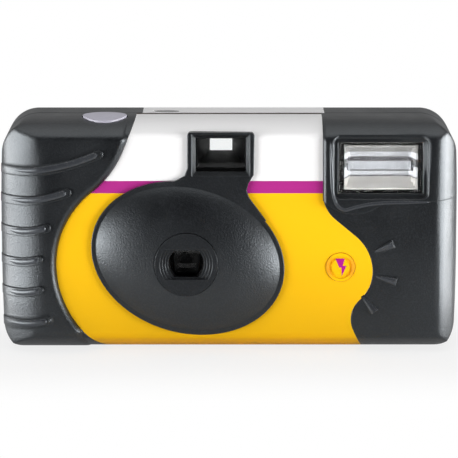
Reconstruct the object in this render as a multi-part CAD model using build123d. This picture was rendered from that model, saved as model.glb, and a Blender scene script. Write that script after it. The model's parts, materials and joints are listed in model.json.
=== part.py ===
from build123d import *
import os
from math import atan2, cos, pi, radians, sin, sqrt

# Clearances
fit = 0.3
seat = 0.1
run = 0.05
overrun = 1.0
root = 0.8

# Film, its cartridge and the picture gate, which the body is made round
cartridge_radius = 12.5
film_width = 35.0
cartridge_end_room = 3.85
cartridge_height = film_width + 2 * cartridge_end_room
gate_width = 36.0
gate_height = 24.0
supply_roll_radius = 9.0
wheel_thickness = 5.6
chassis_wall = 1.0

# Cell between the two film chambers, under the gate
cell_radius = 5.25
cell_length = 43.3
cell_tip_radius = 1.9
cell_tip_length = 1.2
contact_thickness = 0.3
cell_left_gap = 1.1

# Room left in the body beside, under, over and behind the film
cartridge_side_room = 4.7
gate_side_room = 0.35
supply_side_room = 2.4
flash_bay = 22.0
cartridge_low = 3.3
deck_gap = 0.2
wheel_top_room = 6.9
cartridge_front_room = 3.5
film_lip_inset = 2.5
film_back_room = 4.5

# Body: +X to the right as seen from the front, -Y to the front, +Z up
cell_shift = cartridge_radius + cell_left_gap
supply_shift = cell_shift + cell_length + cell_tip_length + contact_thickness + supply_side_room + supply_roll_radius
body_width = cartridge_side_room + cartridge_radius + supply_shift + supply_roll_radius + flash_bay
body_height = (cartridge_low + cartridge_height + deck_gap + chassis_wall + fit + wheel_thickness
               + wheel_top_room)
cartridge_setback = cartridge_radius + cartridge_front_room
film_setback = cartridge_setback + cartridge_radius - film_lip_inset
body_depth = film_setback + film_back_room
front_depth_share = 0.541
dome_height = 5.5
ring_reach = 5.3
wall = 1.6
side_bow = 1.0
bow_height_share = 0.55
label_thickness = 0.2
seam_groove_width = 0.4
seam_groove_depth = 0.4

# Rounding of the front edges, a quarter of an oval from the side to the front
front_round_depth = 11.0
left_round = 12.2
right_round = 6.4
bottom_round = 5.5
top_round = 4.7
low_corner = 7.5
top_corner = 9.5
back_round = 4.0

# Places that follow from the body and the film
back_y = (body_depth + ring_reach) / 2
front_y = back_y - body_depth
seam_y = front_y + front_depth_share * body_depth
inner_front = front_y + wall
inner_back = back_y - wall
inner_top = body_height - wall
film_y = front_y + film_setback
film_z = cartridge_low + cartridge_height / 2
film_low = film_z - film_width / 2
film_high = film_z + film_width / 2
cartridge_high = cartridge_low + cartridge_height
cartridge_x = -body_width / 2 + cartridge_side_room + cartridge_radius
gate_x = cartridge_x + cartridge_radius + gate_side_room + gate_width / 2
supply_x = cartridge_x + supply_shift
deck_low = cartridge_high + deck_gap
deck_high = deck_low + chassis_wall
wheel_low = deck_high + fit
wheel_high = wheel_low + wheel_thickness

# Raised grip on the left, its edge as shares of body width and height
grip_rise = 1.5
grip_edge_radius = 1.8
grip_extra_round = 0.3
grip_inset = 0.1
grip_edge_shares = [
    (-0.194, 1.042), (-0.2314, 0.865), (-0.2975, 0.695), (-0.3737, 0.3233), (-0.2398, -0.020),
]
grip_outer_share = -0.6

# Grip ribs: middle lines as shares of body width and height
rib_width = 2.2
rib_rise = 0.9
rib_edge_radius = 0.6
rib_end_gap = 3.0
rib_back_y = seam_y - rib_end_gap
rib_shares = [
    [(-0.530, 0.787), (-0.458, 0.787), (-0.282, 0.862)],
    [(-0.530, 0.660), (-0.458, 0.660), (-0.351, 0.698)],
    [(-0.530, 0.526), (-0.458, 0.526), (-0.396, 0.545)],
    [(-0.530, 0.393), (-0.466, 0.393), (-0.414, 0.407)],
    [(-0.530, 0.260), (-0.466, 0.260), (-0.413, 0.275)],
    [(-0.530, 0.126), (-0.466, 0.126), (-0.396, 0.143)],
]

# Oval rim and lens dome
rim_width_share = 0.427
rim_height_share = 0.647
rim_half_width = rim_width_share * body_width / 2
rim_half_height = rim_height_share * body_height / 2
rim_tilt = -17.0
rim_rise = 1.0
rim_shift = 0.4
rim_lift = 0.8
lens_drop = 0.75
lens_x = gate_x
lens_z = film_z - lens_drop
rim_x = lens_x + rim_shift
rim_z = lens_z + rim_lift
dome_margin = 1.2
dome_sink = 2.0
dome_room_step = 1.3
dome_room_wide = 13.0
dome_room_narrow = 9.6

# Taking lens, on the axis of the lens ring
ring_radius = 8.05
ring_lip = 1.3
ring_face_y = front_y - ring_reach
ring_depth = 2.6
ring_bore = 4.6
ring_step = 0.4
ring_steps = 3
slot_half_height = 3.45
slot_margin = 0.45
ring_sleeve = 1.0
barrel_bore = 4.4
barrel_wall = 1.0
barrel_front_advance = 2.4
barrel_front_y = front_y - barrel_front_advance
lens_edge = 0.8
lens_bulge = 0.8
lens_advance = 0.9
lens_y = front_y - lens_advance
aperture_y = lens_y + lens_bulge + lens_edge + seat
aperture_side = 6.0
aperture_thickness = 0.3
aperture_bore = 1.5

# Viewfinder: surround on the front, lenses and tunnel
finder_x_share = -0.0178
finder_z_share = 0.8567
finder_x = finder_x_share * body_width
finder_z = finder_z_share * body_height
finder_width_share = 0.1085
finder_height_share = 0.1467
finder_window_width = finder_width_share * body_width
finder_window_height = finder_height_share * body_height
finder_bevel = 1.0
finder_rise = rim_rise
finder_lens_thickness = 1.2
finder_lens_setback = 0.5
finder_lens_y = front_y + finder_lens_setback
tunnel_front_setback = 4.0
tunnel_front_y = front_y + tunnel_front_setback
tunnel_wall = 0.8
tunnel_margin = 0.5
eyepiece_width = 6.4
eyepiece_height = 5.4
eyepiece_thickness = 1.2
finder_outline_shares = [
    (-0.090, 0.955), (0.055, 0.953), (0.0535, 0.773), (0.0425, 0.737), (0.038, 0.705),
    (0.044, 0.673), (0.0805, 0.575), (-0.050, 0.500), (-0.144, 0.727), (-0.1145, 0.748),
    (-0.0965, 0.767), (-0.090, 0.800),
]
finder_corner_radius = 0.9

# Label: right edge as shares of body width and height
label_edge_shares = [
    (0.2025, 1.040), (0.2034, 0.6917), (0.2305, 0.5783), (0.2754, 0.505), (0.3123, 0.350),
    (0.2847, 0.2283), (0.2703, 0.0983), (0.2983, -0.0233),
]
label_edge_straights = (0, 2, 6)
back_label_left_share = -0.19
back_label_right_share = 0.21

# Flash: housing, window, reflector and tube
housing_rise = 1.5
housing_edge_radius = 1.1
housing_edge_shares = [(0.2034, 0.662), (0.245, 0.612), (0.330, 0.645), (0.540, 0.672)]
flash_x_share = 0.3284
flash_z_share = 0.8
window_width_share = 0.1822
window_height_share = 0.2167
flash_x = flash_x_share * body_width
flash_z = flash_z_share * body_height
window_width = window_width_share * body_width
window_height = window_height_share * body_height
window_thickness = 1.2
window_setback = 0.1
window_y = front_y + window_setback
recess_margin = 1.2
recess_corner_radius = 1.5
recess_edge_radius = 0.6
recess_depth = 1.4
reflector_side_gap = 1.35
reflector_edge_gap = 0.8
reflector_width = window_width - 2 * reflector_side_gap
reflector_height = window_height - 2 * reflector_edge_gap
reflector_depth = 5.6
reflector_wall = 0.4
reflector_floor_share = 0.42
reflector_bend_depth_share = 0.62
reflector_bend_height_share = 0.72
reflector_foot_share = 0.84
tube_radius = 1.3
tube_overhang = 1.1
tube_length = reflector_width + 2 * tube_overhang

# Flash button and the raised rays round it
flash_button_x_share = 0.2424
flash_button_z_share = 0.3717
flash_button_x = flash_button_x_share * body_width
flash_button_z = flash_button_z_share * body_height
flash_button_radius = 3.7
flash_button_rise = 0.25
flash_button_travel = 0.9
flash_button_groove = 0.7
flash_button_groove_depth = 0.3
flash_button_flange = 0.8
flash_button_flange_thickness = 0.8
ray_start = 9.4
ray_end = 14.8
ray_start_width = 0.9
ray_end_width = 2.1
ray_rise = 0.8
ray_foot = 0.4
ray_angles = [24.0, -15.0, -53.0]

# Latch slot at the right seam
latch_low_share = 0.4067
latch_high_share = 0.5217
latch_low = latch_low_share * body_height
latch_high = latch_high_share * body_height
latch_depth = 1.1
latch_reach = 1.5

# Film cartridge, gate and film
cartridge_y = front_y + cartridge_setback
shell_wall = 0.35
cap_thickness = 0.8
lip_reach = 1.6
lip_gap = 0.5
spool_end_radius = 3.0
spool_tail = 0.8
film_thickness = 0.14
perforation_pitch = 4.75
perforation_width = 1.98
perforation_height = 2.8
perforation_margin = 2.0
supply_core_radius = 4.0
supply_pin_length = 1.3

# Chassis
plate_front_setback = 4.6
plate_front_y = front_y + plate_front_setback
plate_drop = 10.4
plate_low = lens_z - plate_drop
light_hole = 6.0
chamber_gap = 0.4
gate_gap = 0.3
rail_height = 1.2
rail_rise = 0.7
peg_radius = 1.0
peg_offset = 8.0
peg_inset = 2.5

# Thumbwheel and the recess for the thumb in the back
wheel_radius = 13.5
wheel_hub_radius = 2.9
wheel_teeth = 44
wheel_tooth = 0.6
wheel_dish_radius = 8.5
wheel_dish_depth = 2.2
scoop_half_width = 14.5
scoop_half_height = 4.9
scoop_depth = 3.0

# Sprocket, its shaft and the counter
sprocket_shift = 21.3
sprocket_x = cartridge_x + sprocket_shift
sprocket_radius = 5.6
sprocket_tooth = 0.9
sprocket_tooth_width = 1.4
sprocket_teeth = 8
sprocket_thickness = 2.0
shaft_radius = 1.6
cam_radius = 2.6
cam_thickness = 1.2
kicker_gap = 0.4
counter_shift = 4.2
counter_x = sprocket_x + counter_shift
counter_setback = 14.8
counter_y = front_y + counter_setback
counter_radius = 7.0
counter_thickness = 1.0
counter_gear_radius = 4.1
counter_gear_height = 1.2
counter_gear_teeth = 30
counter_post_radius = 1.2
counter_drop = 3.5
counter_low = inner_top - counter_drop
counter_window_x = counter_x
counter_window_setback = 3.0
counter_window_y = seam_y + counter_window_setback
counter_window_width = 7.0
counter_window_depth = 3.6
counter_window_thickness = 0.8

# Shutter button
button_x_share = -0.2712
button_x = button_x_share * body_width
button_setback = 9.9
button_y = front_y + button_setback
button_radius = 5.65
button_gap = 0.25
button_crown = 0.35
button_flange = 0.75
button_flange_side = 2.7
button_flange_drop = 2.8
button_flange_low = inner_top - button_flange_drop
button_flange_thickness = 0.8
button_travel = 1.5
finger_shift = 3.4
finger_x = button_x + finger_shift
finger_setback = 7.3
finger_y = front_y + finger_setback
finger_radius = 0.8
finger_deck_gap = 3.6
finger_low = deck_high + finger_deck_gap

# Shutter blade and levers
lever_thickness = 1.0
blade_pivot_shift = 5.55
blade_pivot_lift = 8.6
blade_pivot_x = lens_x - blade_pivot_shift
blade_pivot_z = lens_z + blade_pivot_lift
blade_thickness = 0.3
blade_disc_radius = 3.1
blade_arm_width = 2.0
blade_tail = 12.0
pin_radius = 0.8
pin_collar = 1.8
pin_head = 0.4
metering_shift = 4.0
metering_x = sprocket_x - metering_shift
metering_setback = 10.5
metering_y = front_y + metering_setback
metering_deck_gap = 0.7
metering_low = deck_high + metering_deck_gap
metering_arm_shift = 1.8
metering_arm_x = metering_x + metering_arm_shift
metering_arm_setback = 15.1
metering_arm_y = front_y + metering_arm_setback
metering_toe_shift = 3.5
metering_toe_x = metering_x - metering_toe_shift
metering_toe_setback = 7.7
metering_toe_y = front_y + metering_toe_setback
energy_shift = 3.85
energy_x = lens_x - energy_shift
energy_setback = 9.3
energy_y = front_y + energy_setback
energy_gap = 0.4
energy_low = metering_low + lever_thickness + energy_gap
energy_reach = 7.0
energy_finger_angle = -130.0
energy_latch_angle = 195.0
energy_finger_drop = 1.1
energy_finger_low = deck_low - energy_finger_drop
lever_width = 1.8
metering_arm_width = 1.4
energy_arm_width = 1.1
post_radius = 0.9
spring_gap = 0.25
spring_wall = 0.35
spring_leg = 3.5

# Battery and its contacts
cell_x = cartridge_x + cell_shift
cell_setback = 8.7
cell_y = front_y + cell_setback
cell_z = 7.6
contact_width = 6.2

# Flash board and what is on it
board_cell_gap = 0.9
board_side_room = 6.5
board_low = 4.6
board_flash_gap = 2.1
cell_end = cell_x + cell_length + cell_tip_length + contact_thickness
board_left = cell_end + board_cell_gap
board_right = body_width / 2 - board_side_room
board_high = flash_z - window_height / 2 - board_flash_gap
board_thickness = 1.2
board_setback = 4.0
board_y = front_y + board_setback
capacitor_radius = 4.9
capacitor_length = 25.0
capacitor_inset = 5.9
capacitor_x = board_right - capacitor_inset
capacitor_low = 6.0
transformer_x = capacitor_x
transformer_width = 11.0
transformer_depth = 8.0
transformer_height = 7.0
transformer_gap = 1.2
transformer_low = capacitor_low + capacitor_length + transformer_gap
transformer_inset = 0.9
transformer_flange = 1.8
coil_shift = 4.0
coil_x = supply_x - coil_shift
coil_radius = 2.4
coil_length = 7.0
coil_deck_gap = 2.9
coil_z = deck_high + coil_deck_gap
lamp_shift = 13.6
lamp_x = finder_x + lamp_shift
lamp_radius = 1.4
lamp_length = 6.5
switch_width = 3.0
component_height = 1.8
component_length = 5.0
component_width = 2.2
component_shares = [(0.13, 0.76), (0.13, 0.86), (0.83, 0.21)]

# Places that follow from the film
supply_y = film_y - supply_roll_radius
sprocket_y = film_y - fit - sprocket_radius - sprocket_tooth
sprocket_z = film_high - perforation_margin


def front_plane(y):
    """Plane across the body at depth y, seen from the front: its axes are X and Z."""
    return Plane(origin=(0, y, 0), x_dir=(1, 0, 0), z_dir=(0, -1, 0))


def slab(face, y_front, y_back):
    """Solid of a front-view face between two depths."""
    return extrude(front_plane(y_back) * face, amount=y_back - y_front)


def lift(face, z_low, z_high):
    """Solid of a plan-view face between two heights."""
    return extrude(Plane.XY.offset(z_low) * face, amount=z_high - z_low)


def block(x_low, x_high, y_low, y_high, z_low, z_high):
    """Box between two corners."""
    size = (x_high - x_low, y_high - y_low, z_high - z_low)
    middle = ((x_low + x_high) / 2, (y_low + y_high) / 2, (z_low + z_high) / 2)
    return Pos(*middle) * Box(*size)


def rod(x, y, z_low, z_high, radius):
    """Upright cylinder."""
    return lift(Pos(x, y) * Circle(radius), z_low, z_high)


def axle(x, z, y_front, y_back, radius):
    """Cylinder that runs front to back."""
    return slab(Pos(x, z) * Circle(radius), y_front, y_back)


def tapered(front, back, y_front, y_back):
    """Four-sided taper between two boxes in front view, each given as x low, x high, z low, z high."""
    plan_view = Polyline((front[0], y_front), (front[1], y_front), (back[1], y_back), (back[0], y_back), close=True)
    side_view = Polyline((y_front, front[2]), (y_front, front[3]), (y_back, back[3]), (y_back, back[2]), close=True)
    z_low = min(front[2], back[2])
    z_high = max(front[3], back[3])
    x_low = min(front[0], back[0])
    x_high = max(front[1], back[1])
    side_plane = Plane(origin=(x_low, 0, 0), x_dir=(0, 1, 0), z_dir=(1, 0, 0))
    level = lift(make_face(plan_view), z_low, z_high)
    return level & extrude(side_plane * make_face(side_view), amount=x_high - x_low)


def frame_of(x, z, width, height, grow=0.0):
    """Box in front view about a middle point, as x low, x high, z low, z high."""
    return (x - width / 2 - grow, x + width / 2 + grow, z - height / 2 - grow, z + height / 2 + grow)


def scaled(shares):
    """Outline points from shares of body width and height."""
    return [(u * body_width, v * body_height) for u, v in shares]


def chain(points, straights=(0,)):
    """Run of arcs, each tangent to the one before, with the numbered pieces straight."""
    run_of = [Line(points[0], points[1])]
    for number in range(1, len(points) - 1):
        start, end = points[number], points[number + 1]
        if number in straights:
            run_of.append(Line(start, end))
        else:
            run_of.append(TangentArc(start, end, tangent=run_of[-1] % 1))
    return run_of


def bar(start, end, width):
    """Flat bar between two points."""
    return trace(Line(start, end), width)


def outline(grow):
    """Front view of the body, with bowed sides and rounded corners."""
    left = -body_width / 2 - grow
    right = body_width / 2 + grow
    low = -grow
    high = body_height + grow
    waist = low + (high - low) * bow_height_share
    left_foot = left + side_bow
    right_foot = right - side_bow
    face = make_face([
        ThreePointArc((left_foot, low), (left, waist), (left_foot, high)),
        Line((left_foot, high), (right_foot, high)),
        ThreePointArc((right_foot, high), (right, waist), (right_foot, low)),
        Line((right_foot, low), (left_foot, low)),
    ])
    face = fillet(face.vertices().sort_by(Axis.Y)[2:], top_corner + grow)
    return fillet(face.vertices().group_by(Axis.Y)[0], low_corner + grow)


def oval_quarter(middle, across, up):
    """Two tangent arcs for a quarter of an oval, from its level end to its upright end."""
    a, b = abs(across), abs(up)
    if a < b:
        swapped = oval_quarter((middle[1], middle[0]), up, across)
        return [ThreePointArc(*[(p.Y, p.X) for p in (arc @ 1, arc @ 0.5, arc @ 0)]) for arc in reversed(swapped)]
    small = b * b / a
    large = ((a - small) ** 2 + b * b - small * small) / (2 * (b - small))
    lean = atan2(large - b, a - small)
    arcs = []
    for x, y, radius, start, end in ((a - small, 0, small, 0, lean), (0, b - large, large, lean, pi / 2)):
        places = []
        for angle in (start, (start + end) / 2, end):
            places.append((middle[0] + (x + radius * cos(angle)) * across / a,
                           middle[1] + (y + radius * sin(angle)) * up / b))
        arcs.append(ThreePointArc(*places))
    return arcs


def rounded_front(front, back, low, high, low_round, high_round):
    """Profile with its front at the left, rounded there on two oval quarters."""
    start = front + front_round_depth
    lower = oval_quarter((start, low + low_round), -front_round_depth, -low_round)
    upper = oval_quarter((start, high - high_round), -front_round_depth, high_round)
    return make_face([
        *lower, *upper,
        Line((front, low + low_round), (front, high - high_round)),
        Polyline((start, low), (back, low), (back, high), (start, high)),
    ])


def front_form(front, grow=0.0, extra=0.0, back=seam_y):
    """Solid of the front half, its front edges rounded on oval quarters."""
    half = body_width / 2 + grow
    top = body_height + grow
    side_view = rounded_front(front, back, -grow, top, bottom_round + extra, top_round + extra)
    plan_view = rounded_front(front, back, -half, half, left_round, right_round)
    side_plane = Plane(origin=(-half, 0, 0), x_dir=(0, 1, 0), z_dir=(1, 0, 0))
    plan_plane = Plane(origin=(0, 0, top), x_dir=(0, 1, 0), z_dir=(0, 0, -1))
    solid = slab(outline(grow), front, back)
    solid = solid & extrude(side_plane * side_view, amount=2 * half)
    return solid & extrude(plan_plane * plan_view, amount=top + grow)


def back_form(grow=0.0, front=seam_y):
    """Solid of the back half, its back edges rounded along the body and up it."""
    half = body_width / 2 + grow
    back = back_y + grow
    corner = back_round + grow
    plan_view = Pos(0, (front + back) / 2) * Rectangle(2 * half, back - front)
    plan_view = fillet(plan_view.vertices().group_by(Axis.Y)[-1], corner)
    side_view = Pos((front + back) / 2, body_height / 2) * Rectangle(back - front, body_height + 2 * grow)
    side_view = fillet(side_view.vertices().group_by(Axis.X)[-1], corner)
    side_plane = Plane(origin=(-half, 0, 0), x_dir=(0, 1, 0), z_dir=(1, 0, 0))
    solid = slab(outline(grow), front, back) & lift(plan_view, -grow, body_height + grow)
    return solid & extrude(side_plane * side_view, amount=2 * half)


def interior(gap):
    """Room inside the two covers, less a gap all round."""
    front = front_form(inner_front + gap, -wall - gap)
    back = back_form(-wall - gap)
    return front + back


def grip_face(shift=0.0):
    """Front view of the grip: everything left of its curved edge."""
    points = [(x - shift, z) for x, z in scaled(grip_edge_shares)]
    outer = grip_outer_share * body_width
    return make_face([*chain(points), Polyline(points[-1], (outer, points[-1][1]), (outer, points[0][1]), points[0])])


def grip():
    """Raised grip with its rolled edge."""
    solid = front_form(front_y - grip_rise, -grip_inset, grip_extra_round, seam_y - fit)
    solid = solid & slab(grip_face(), front_y - dome_height, seam_y)
    edge_face = solid.faces().filter_by(lambda f: abs(f.normal_at(f.center()).Y) < 0.01).sort_by(Axis.X)[-1]
    rolled = [edge for edge in edge_face.edges() if (edge @ 0.5).Y < seam_y - 2 * fit]
    return fillet(rolled, grip_edge_radius)


def grip_room(gap=0.0):
    """Room behind the raised grip."""
    solid = front_form(front_y - grip_rise + wall + gap, -wall - grip_inset - gap, grip_extra_round)
    return solid & slab(grip_face(wall + gap), front_y - dome_height, seam_y - fit)


def ribs():
    """Six grip ribs that wrap round the left side."""
    skin = front_form(front_y - grip_rise - rib_rise, -grip_inset / 2, grip_extra_round, rib_back_y)
    made = []
    for shares in rib_shares:
        points = scaled(shares)
        band = Pos(*points[-1]) * Circle(rib_width / 2)
        for piece in chain(points):
            band = band + trace(piece, rib_width)
        rib = slab(band, front_y - dome_height, seam_y) & skin
        made.append(rib)
    return made


def rim_face(margin=0.0):
    """Tilted oval of the rim."""
    return Pos(rim_x, rim_z) * Rot(0, 0, rim_tilt) * Ellipse(rim_half_width - margin, rim_half_height - margin)


def finder_face():
    """Surround of the viewfinder with the neck that runs down to the rim."""
    face = make_face(Polyline(*scaled(finder_outline_shares), close=True))
    return fillet(face.vertices().sort_by(Axis.Y)[-2:], finder_corner_radius)


def dome():
    """Pillow-shaped lens dome, the front cap of an ellipsoid that leaves a narrow rim."""
    reach = dome_height + dome_sink
    foot = sqrt(1 - ((dome_sink + rim_rise) / reach) ** 2)
    size = ((rim_half_width - dome_margin) / foot, reach, (rim_half_height - dome_margin) / foot)
    solid = Pos(rim_x, front_y + dome_sink, rim_z) * Rot(0, -rim_tilt, 0) * scale(Solid.make_sphere(1.0), by=size)
    return solid & slab(rim_face(), front_y - dome_height - overrun, front_y + root)


def dome_room():
    """Stepped room inside the lens dome."""
    wide = axle(rim_x, rim_z, front_y - dome_room_step, inner_front + overrun, dome_room_wide)
    return wide + axle(rim_x, rim_z, front_y - 2 * dome_room_step, inner_front + overrun, dome_room_narrow)


def housing_face():
    """Front view of the flash housing: right of the label and above the ledge."""
    low_left, bend, rise, low_right = scaled(housing_edge_shares)
    top_left = scaled(label_edge_shares)[0]
    ledge = ThreePointArc(low_left, bend, rise)
    return make_face([ledge, Polyline(rise, low_right, (low_right[0], top_left[1]), top_left, low_left)])


def housing():
    """Raised flash housing with the rolled pillar at its left."""
    solid = front_form(front_y - housing_rise, -grip_inset, grip_extra_round, seam_y - fit)
    solid = solid & slab(housing_face(), front_y - dome_height, seam_y)
    pillar = solid.faces().filter_by(GeomType.PLANE).sort_by(lambda f: abs(f.normal_at(f.center()).X + 1))[0]
    rolled = [edge for edge in pillar.edges() if (edge @ 0.5).Y < front_y]
    solid = fillet(rolled, housing_edge_radius)
    mouth = fillet(window_face(recess_margin).vertices(), recess_corner_radius)
    solid = solid - slab(mouth, front_y - dome_height, front_y - housing_rise + recess_depth)
    half_width = window_width / 2 + recess_margin + seat
    half_height = window_height / 2 + recess_margin + seat
    rolled = []
    for edge in solid.edges():
        middle = edge @ 0.5
        level = abs((edge @ 0 - edge @ 1).Y)
        inside = abs(middle.X - flash_x) < half_width and abs(middle.Z - flash_z) < half_height
        if inside and middle.Y < front_y - recess_depth / 2 and level < recess_depth / 2:
            rolled.append(edge)
    return fillet(rolled, recess_edge_radius)


def seam_groove():
    """Shallow groove along the front cover's edge, where the two covers meet."""
    front = seam_y - seam_groove_width
    return slab(outline(overrun), front, seam_y) - slab(outline(-seam_groove_depth), front, seam_y)


def rays():
    """Three raised wedges that point away from the flash button."""
    length = ray_end - ray_start
    made = []
    for angle in ray_angles:
        plan = make_face(Polyline((ray_start, -ray_start_width / 2), (ray_end, -ray_end_width / 2),
                                  (ray_end, ray_end_width / 2), (ray_start, ray_start_width / 2), close=True))
        turned = Pos(flash_button_x, flash_button_z) * Rot(0, 0, angle) * plan
        slope = make_face(Polyline((ray_start, 0), (ray_end, ray_rise), (ray_end, -ray_foot),
                                   (ray_start, -ray_foot), close=True))
        way = Vector(cos(radians(angle)), 0, sin(radians(angle)))
        across = Vector(sin(radians(angle)), 0, -cos(radians(angle)))
        side = Plane(origin=Vector(flash_button_x, front_y, flash_button_z) - across * length,
                     x_dir=way, z_dir=across)
        made.append(slab(turned, front_y - ray_rise, front_y + ray_foot) & extrude(side * slope, amount=2 * length))
    return made


def label_face():
    """Front view of the label, with the rim and the viewfinder surround left out."""
    left = scaled(grip_edge_shares)
    right = scaled(label_edge_shares)
    whole = make_face([*chain(left), Line(left[-1], right[-1]), *chain(right, label_edge_straights),
                       Line(right[0], left[0])])
    return whole - rim_face() - finder_face()


def label_skin():
    """Label film laid over the front, wrapped to the seam at the top and the bottom."""
    skin = front_form(front_y) - front_form(front_y + label_thickness, -label_thickness, back=seam_y + overrun)
    return skin & slab(label_face(), front_y - dome_height, seam_y + overrun)


def front_label(skin):
    """Label with its hole for the flash button."""
    hole = flash_button_radius + seat
    skin = skin - axle(flash_button_x, flash_button_z, front_y - overrun, inner_front, hole)
    return skin - seam_groove()


def window_face(margin=0.0):
    """Front view of the flash window."""
    return Pos(flash_x, flash_z) * Rectangle(window_width + 2 * margin, window_height + 2 * margin)


def finder_window(margin=0.0):
    """Front view of the viewfinder window."""
    return Pos(finder_x, finder_z) * Rectangle(finder_window_width + 2 * margin,
                                              finder_window_height + 2 * margin)


def finder_flare():
    """Bevelled mouth of the viewfinder window."""
    mouth = frame_of(finder_x, finder_z, finder_window_width, finder_window_height, finder_bevel)
    throat = frame_of(finder_x, finder_z, finder_window_width, finder_window_height)
    return tapered(mouth, throat, front_y - finder_rise, finder_lens_y)


def latch_notch():
    """Slot over the latch on the right side."""
    middle = (latch_low + latch_high) / 2
    depth = side_bow + latch_depth
    notch = Box(2 * depth, 2 * latch_reach, latch_high - latch_low)
    return Pos(body_width / 2, seam_y, middle) * notch


def front_cover(skin):
    """Moulded front shell."""
    solid = front_form(front_y) + grip() + housing()
    solid = solid + slab(rim_face(), front_y - rim_rise, front_y + root)
    surround = slab(finder_face(), front_y - finder_rise, front_y + root)
    solid = solid + surround + dome()
    solid = solid + ribs() + rays()
    solid = solid - front_form(inner_front, -wall, back=seam_y + overrun) - grip_room()
    solid = solid - dome_room()
    solid = solid - axle(lens_x, lens_z, front_y - dome_height - overrun, inner_front, ring_radius + seat)
    solid = solid - finder_flare() - slab(finder_window(), front_y, inner_front + overrun)
    solid = solid - slab(window_face(seat), front_y - dome_height, inner_front + overrun)
    solid = solid - axle(flash_button_x, flash_button_z, front_y - overrun, inner_front + overrun,
                         flash_button_radius + seat)
    solid = solid - rod(button_x, button_y, button_flange_low, body_height + overrun, button_radius + button_gap)
    solid = solid - cartridge_room()
    return solid - skin - latch_notch() - seam_groove()


def scoop(grow=0.0):
    """Thumb recess in the back, where an upright and a level cylinder cross."""
    middle_z = (wheel_low + wheel_high) / 2
    level = (scoop_half_height ** 2 + scoop_depth ** 2) / (2 * scoop_depth)
    upright = (scoop_half_width ** 2 + scoop_depth ** 2) / (2 * scoop_depth)
    plane = Plane(origin=(cartridge_x - upright, back_y - scoop_depth + level, middle_z),
                  x_dir=(0, 1, 0), z_dir=(1, 0, 0))
    trough = extrude(plane * Circle(level + grow), amount=2 * upright)
    return trough & rod(cartridge_x, back_y - scoop_depth + upright, 0, body_height, upright + grow)


def cartridge_room():
    """Relief for the cartridge in the two covers."""
    return rod(cartridge_x, cartridge_y, cartridge_low - fit, cartridge_high + seat, cartridge_radius + fit)


def back_label_face():
    """Back view of the label, from the seam over the top, down the back and under."""
    left = back_label_left_share * body_width
    right = back_label_right_share * body_width
    whole = Pos((left + right) / 2, body_height / 2) * Rectangle(right - left, body_height + 2 * overrun)
    return whole - Pos(finder_x, finder_z) * Rectangle(eyepiece_width + 4 * finder_bevel,
                                                      eyepiece_height + 4 * finder_bevel)


def back_label():
    """Label film over the back cover."""
    skin = back_form() - back_form(-label_thickness, front=seam_y - overrun)
    film = skin & slab(back_label_face(), seam_y, back_y + overrun)
    return film - counter_opening() - axle(lamp_x, finder_z, seam_y, back_y + overrun, lamp_radius + seat)


def counter_face(margin=0.0):
    """Plan view of the counter window."""
    width = counter_window_width + 2 * margin
    depth = counter_window_depth + 2 * margin
    return Pos(counter_window_x, counter_window_y) * Ellipse(width / 2, depth / 2)


def counter_opening(margin=0.0):
    """Opening for the counter window in the top."""
    return lift(counter_face(margin), inner_top - overrun, body_height + overrun)


def back_cover(label):
    """Moulded back shell with the thumb recess and the film rails."""
    solid = back_form() - scoop()
    room = back_form(-wall, seam_y - overrun) - scoop(wall)
    solid = solid - room
    slot = rod(cartridge_x, cartridge_y, wheel_low - fit, wheel_high + fit, wheel_radius + fit)
    solid = solid - slot - cartridge_room()
    eyepiece = Pos(finder_x, finder_z) * Rectangle(eyepiece_width + 2 * seat, eyepiece_height + 2 * seat)
    solid = solid - slab(eyepiece, inner_back - overrun, back_y + overrun)
    solid = solid - axle(lamp_x, finder_z, inner_back - overrun, back_y + overrun, lamp_radius + seat)
    rail_left = lens_x - gate_width / 2
    rail_right = lens_x + gate_width / 2
    for height in (film_low + perforation_margin, film_high - perforation_margin):
        solid = solid + block(rail_left, rail_right, film_y + film_thickness + fit, inner_back + seat,
                              height - rail_height / 2, height + rail_height / 2)
    return solid - label - counter_opening(seat) - latch_notch()


def counter_window():
    """Clear window over the counter, flush with the label."""
    return lift(counter_face(), body_height - counter_window_thickness, body_height)


def lens_ring():
    """Ring insert with a stepped cone, cut by the flats of its slot."""
    front = ring_face_y
    outer = axle(lens_x, lens_z, front, front + ring_depth, ring_radius)
    sleeve = axle(lens_x, lens_z, front + ring_depth, barrel_front_y, barrel_bore + 2 * barrel_wall)
    ring = outer + sleeve
    cone = None
    mouth = ring_radius - ring_lip
    for step in range(ring_steps):
        radius = mouth - (mouth - ring_bore) * step / ring_steps
        depth = ring_step * (step + 1)
        disc = axle(lens_x, lens_z, front - overrun, front + depth, radius)
        cone = disc if cone is None else cone + disc
    flats = slab(Pos(lens_x, lens_z) * Rectangle(2 * ring_radius, 2 * (slot_half_height + slot_margin)),
                 front - overrun, barrel_front_y)
    slot = slab(Pos(lens_x, lens_z) * Rectangle(2 * ring_radius, 2 * slot_half_height),
                front - overrun, barrel_front_y)
    bore = axle(lens_x, lens_z, front, barrel_front_y, ring_bore)
    ring = ring - (cone & flats) - (bore & slot)
    hollow = axle(lens_x, lens_z, front + ring_depth, barrel_front_y, barrel_bore)
    return ring - hollow


def taking_lens():
    """Taking lens, domed at the front and flat at the back."""
    radius = barrel_bore - seat
    curve = (radius ** 2 + lens_bulge ** 2) / (2 * lens_bulge)
    blank = axle(lens_x, lens_z, lens_y, lens_y + lens_bulge + lens_edge, radius)
    return blank & Pos(lens_x, lens_y + curve, lens_z) * Sphere(curve)


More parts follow.
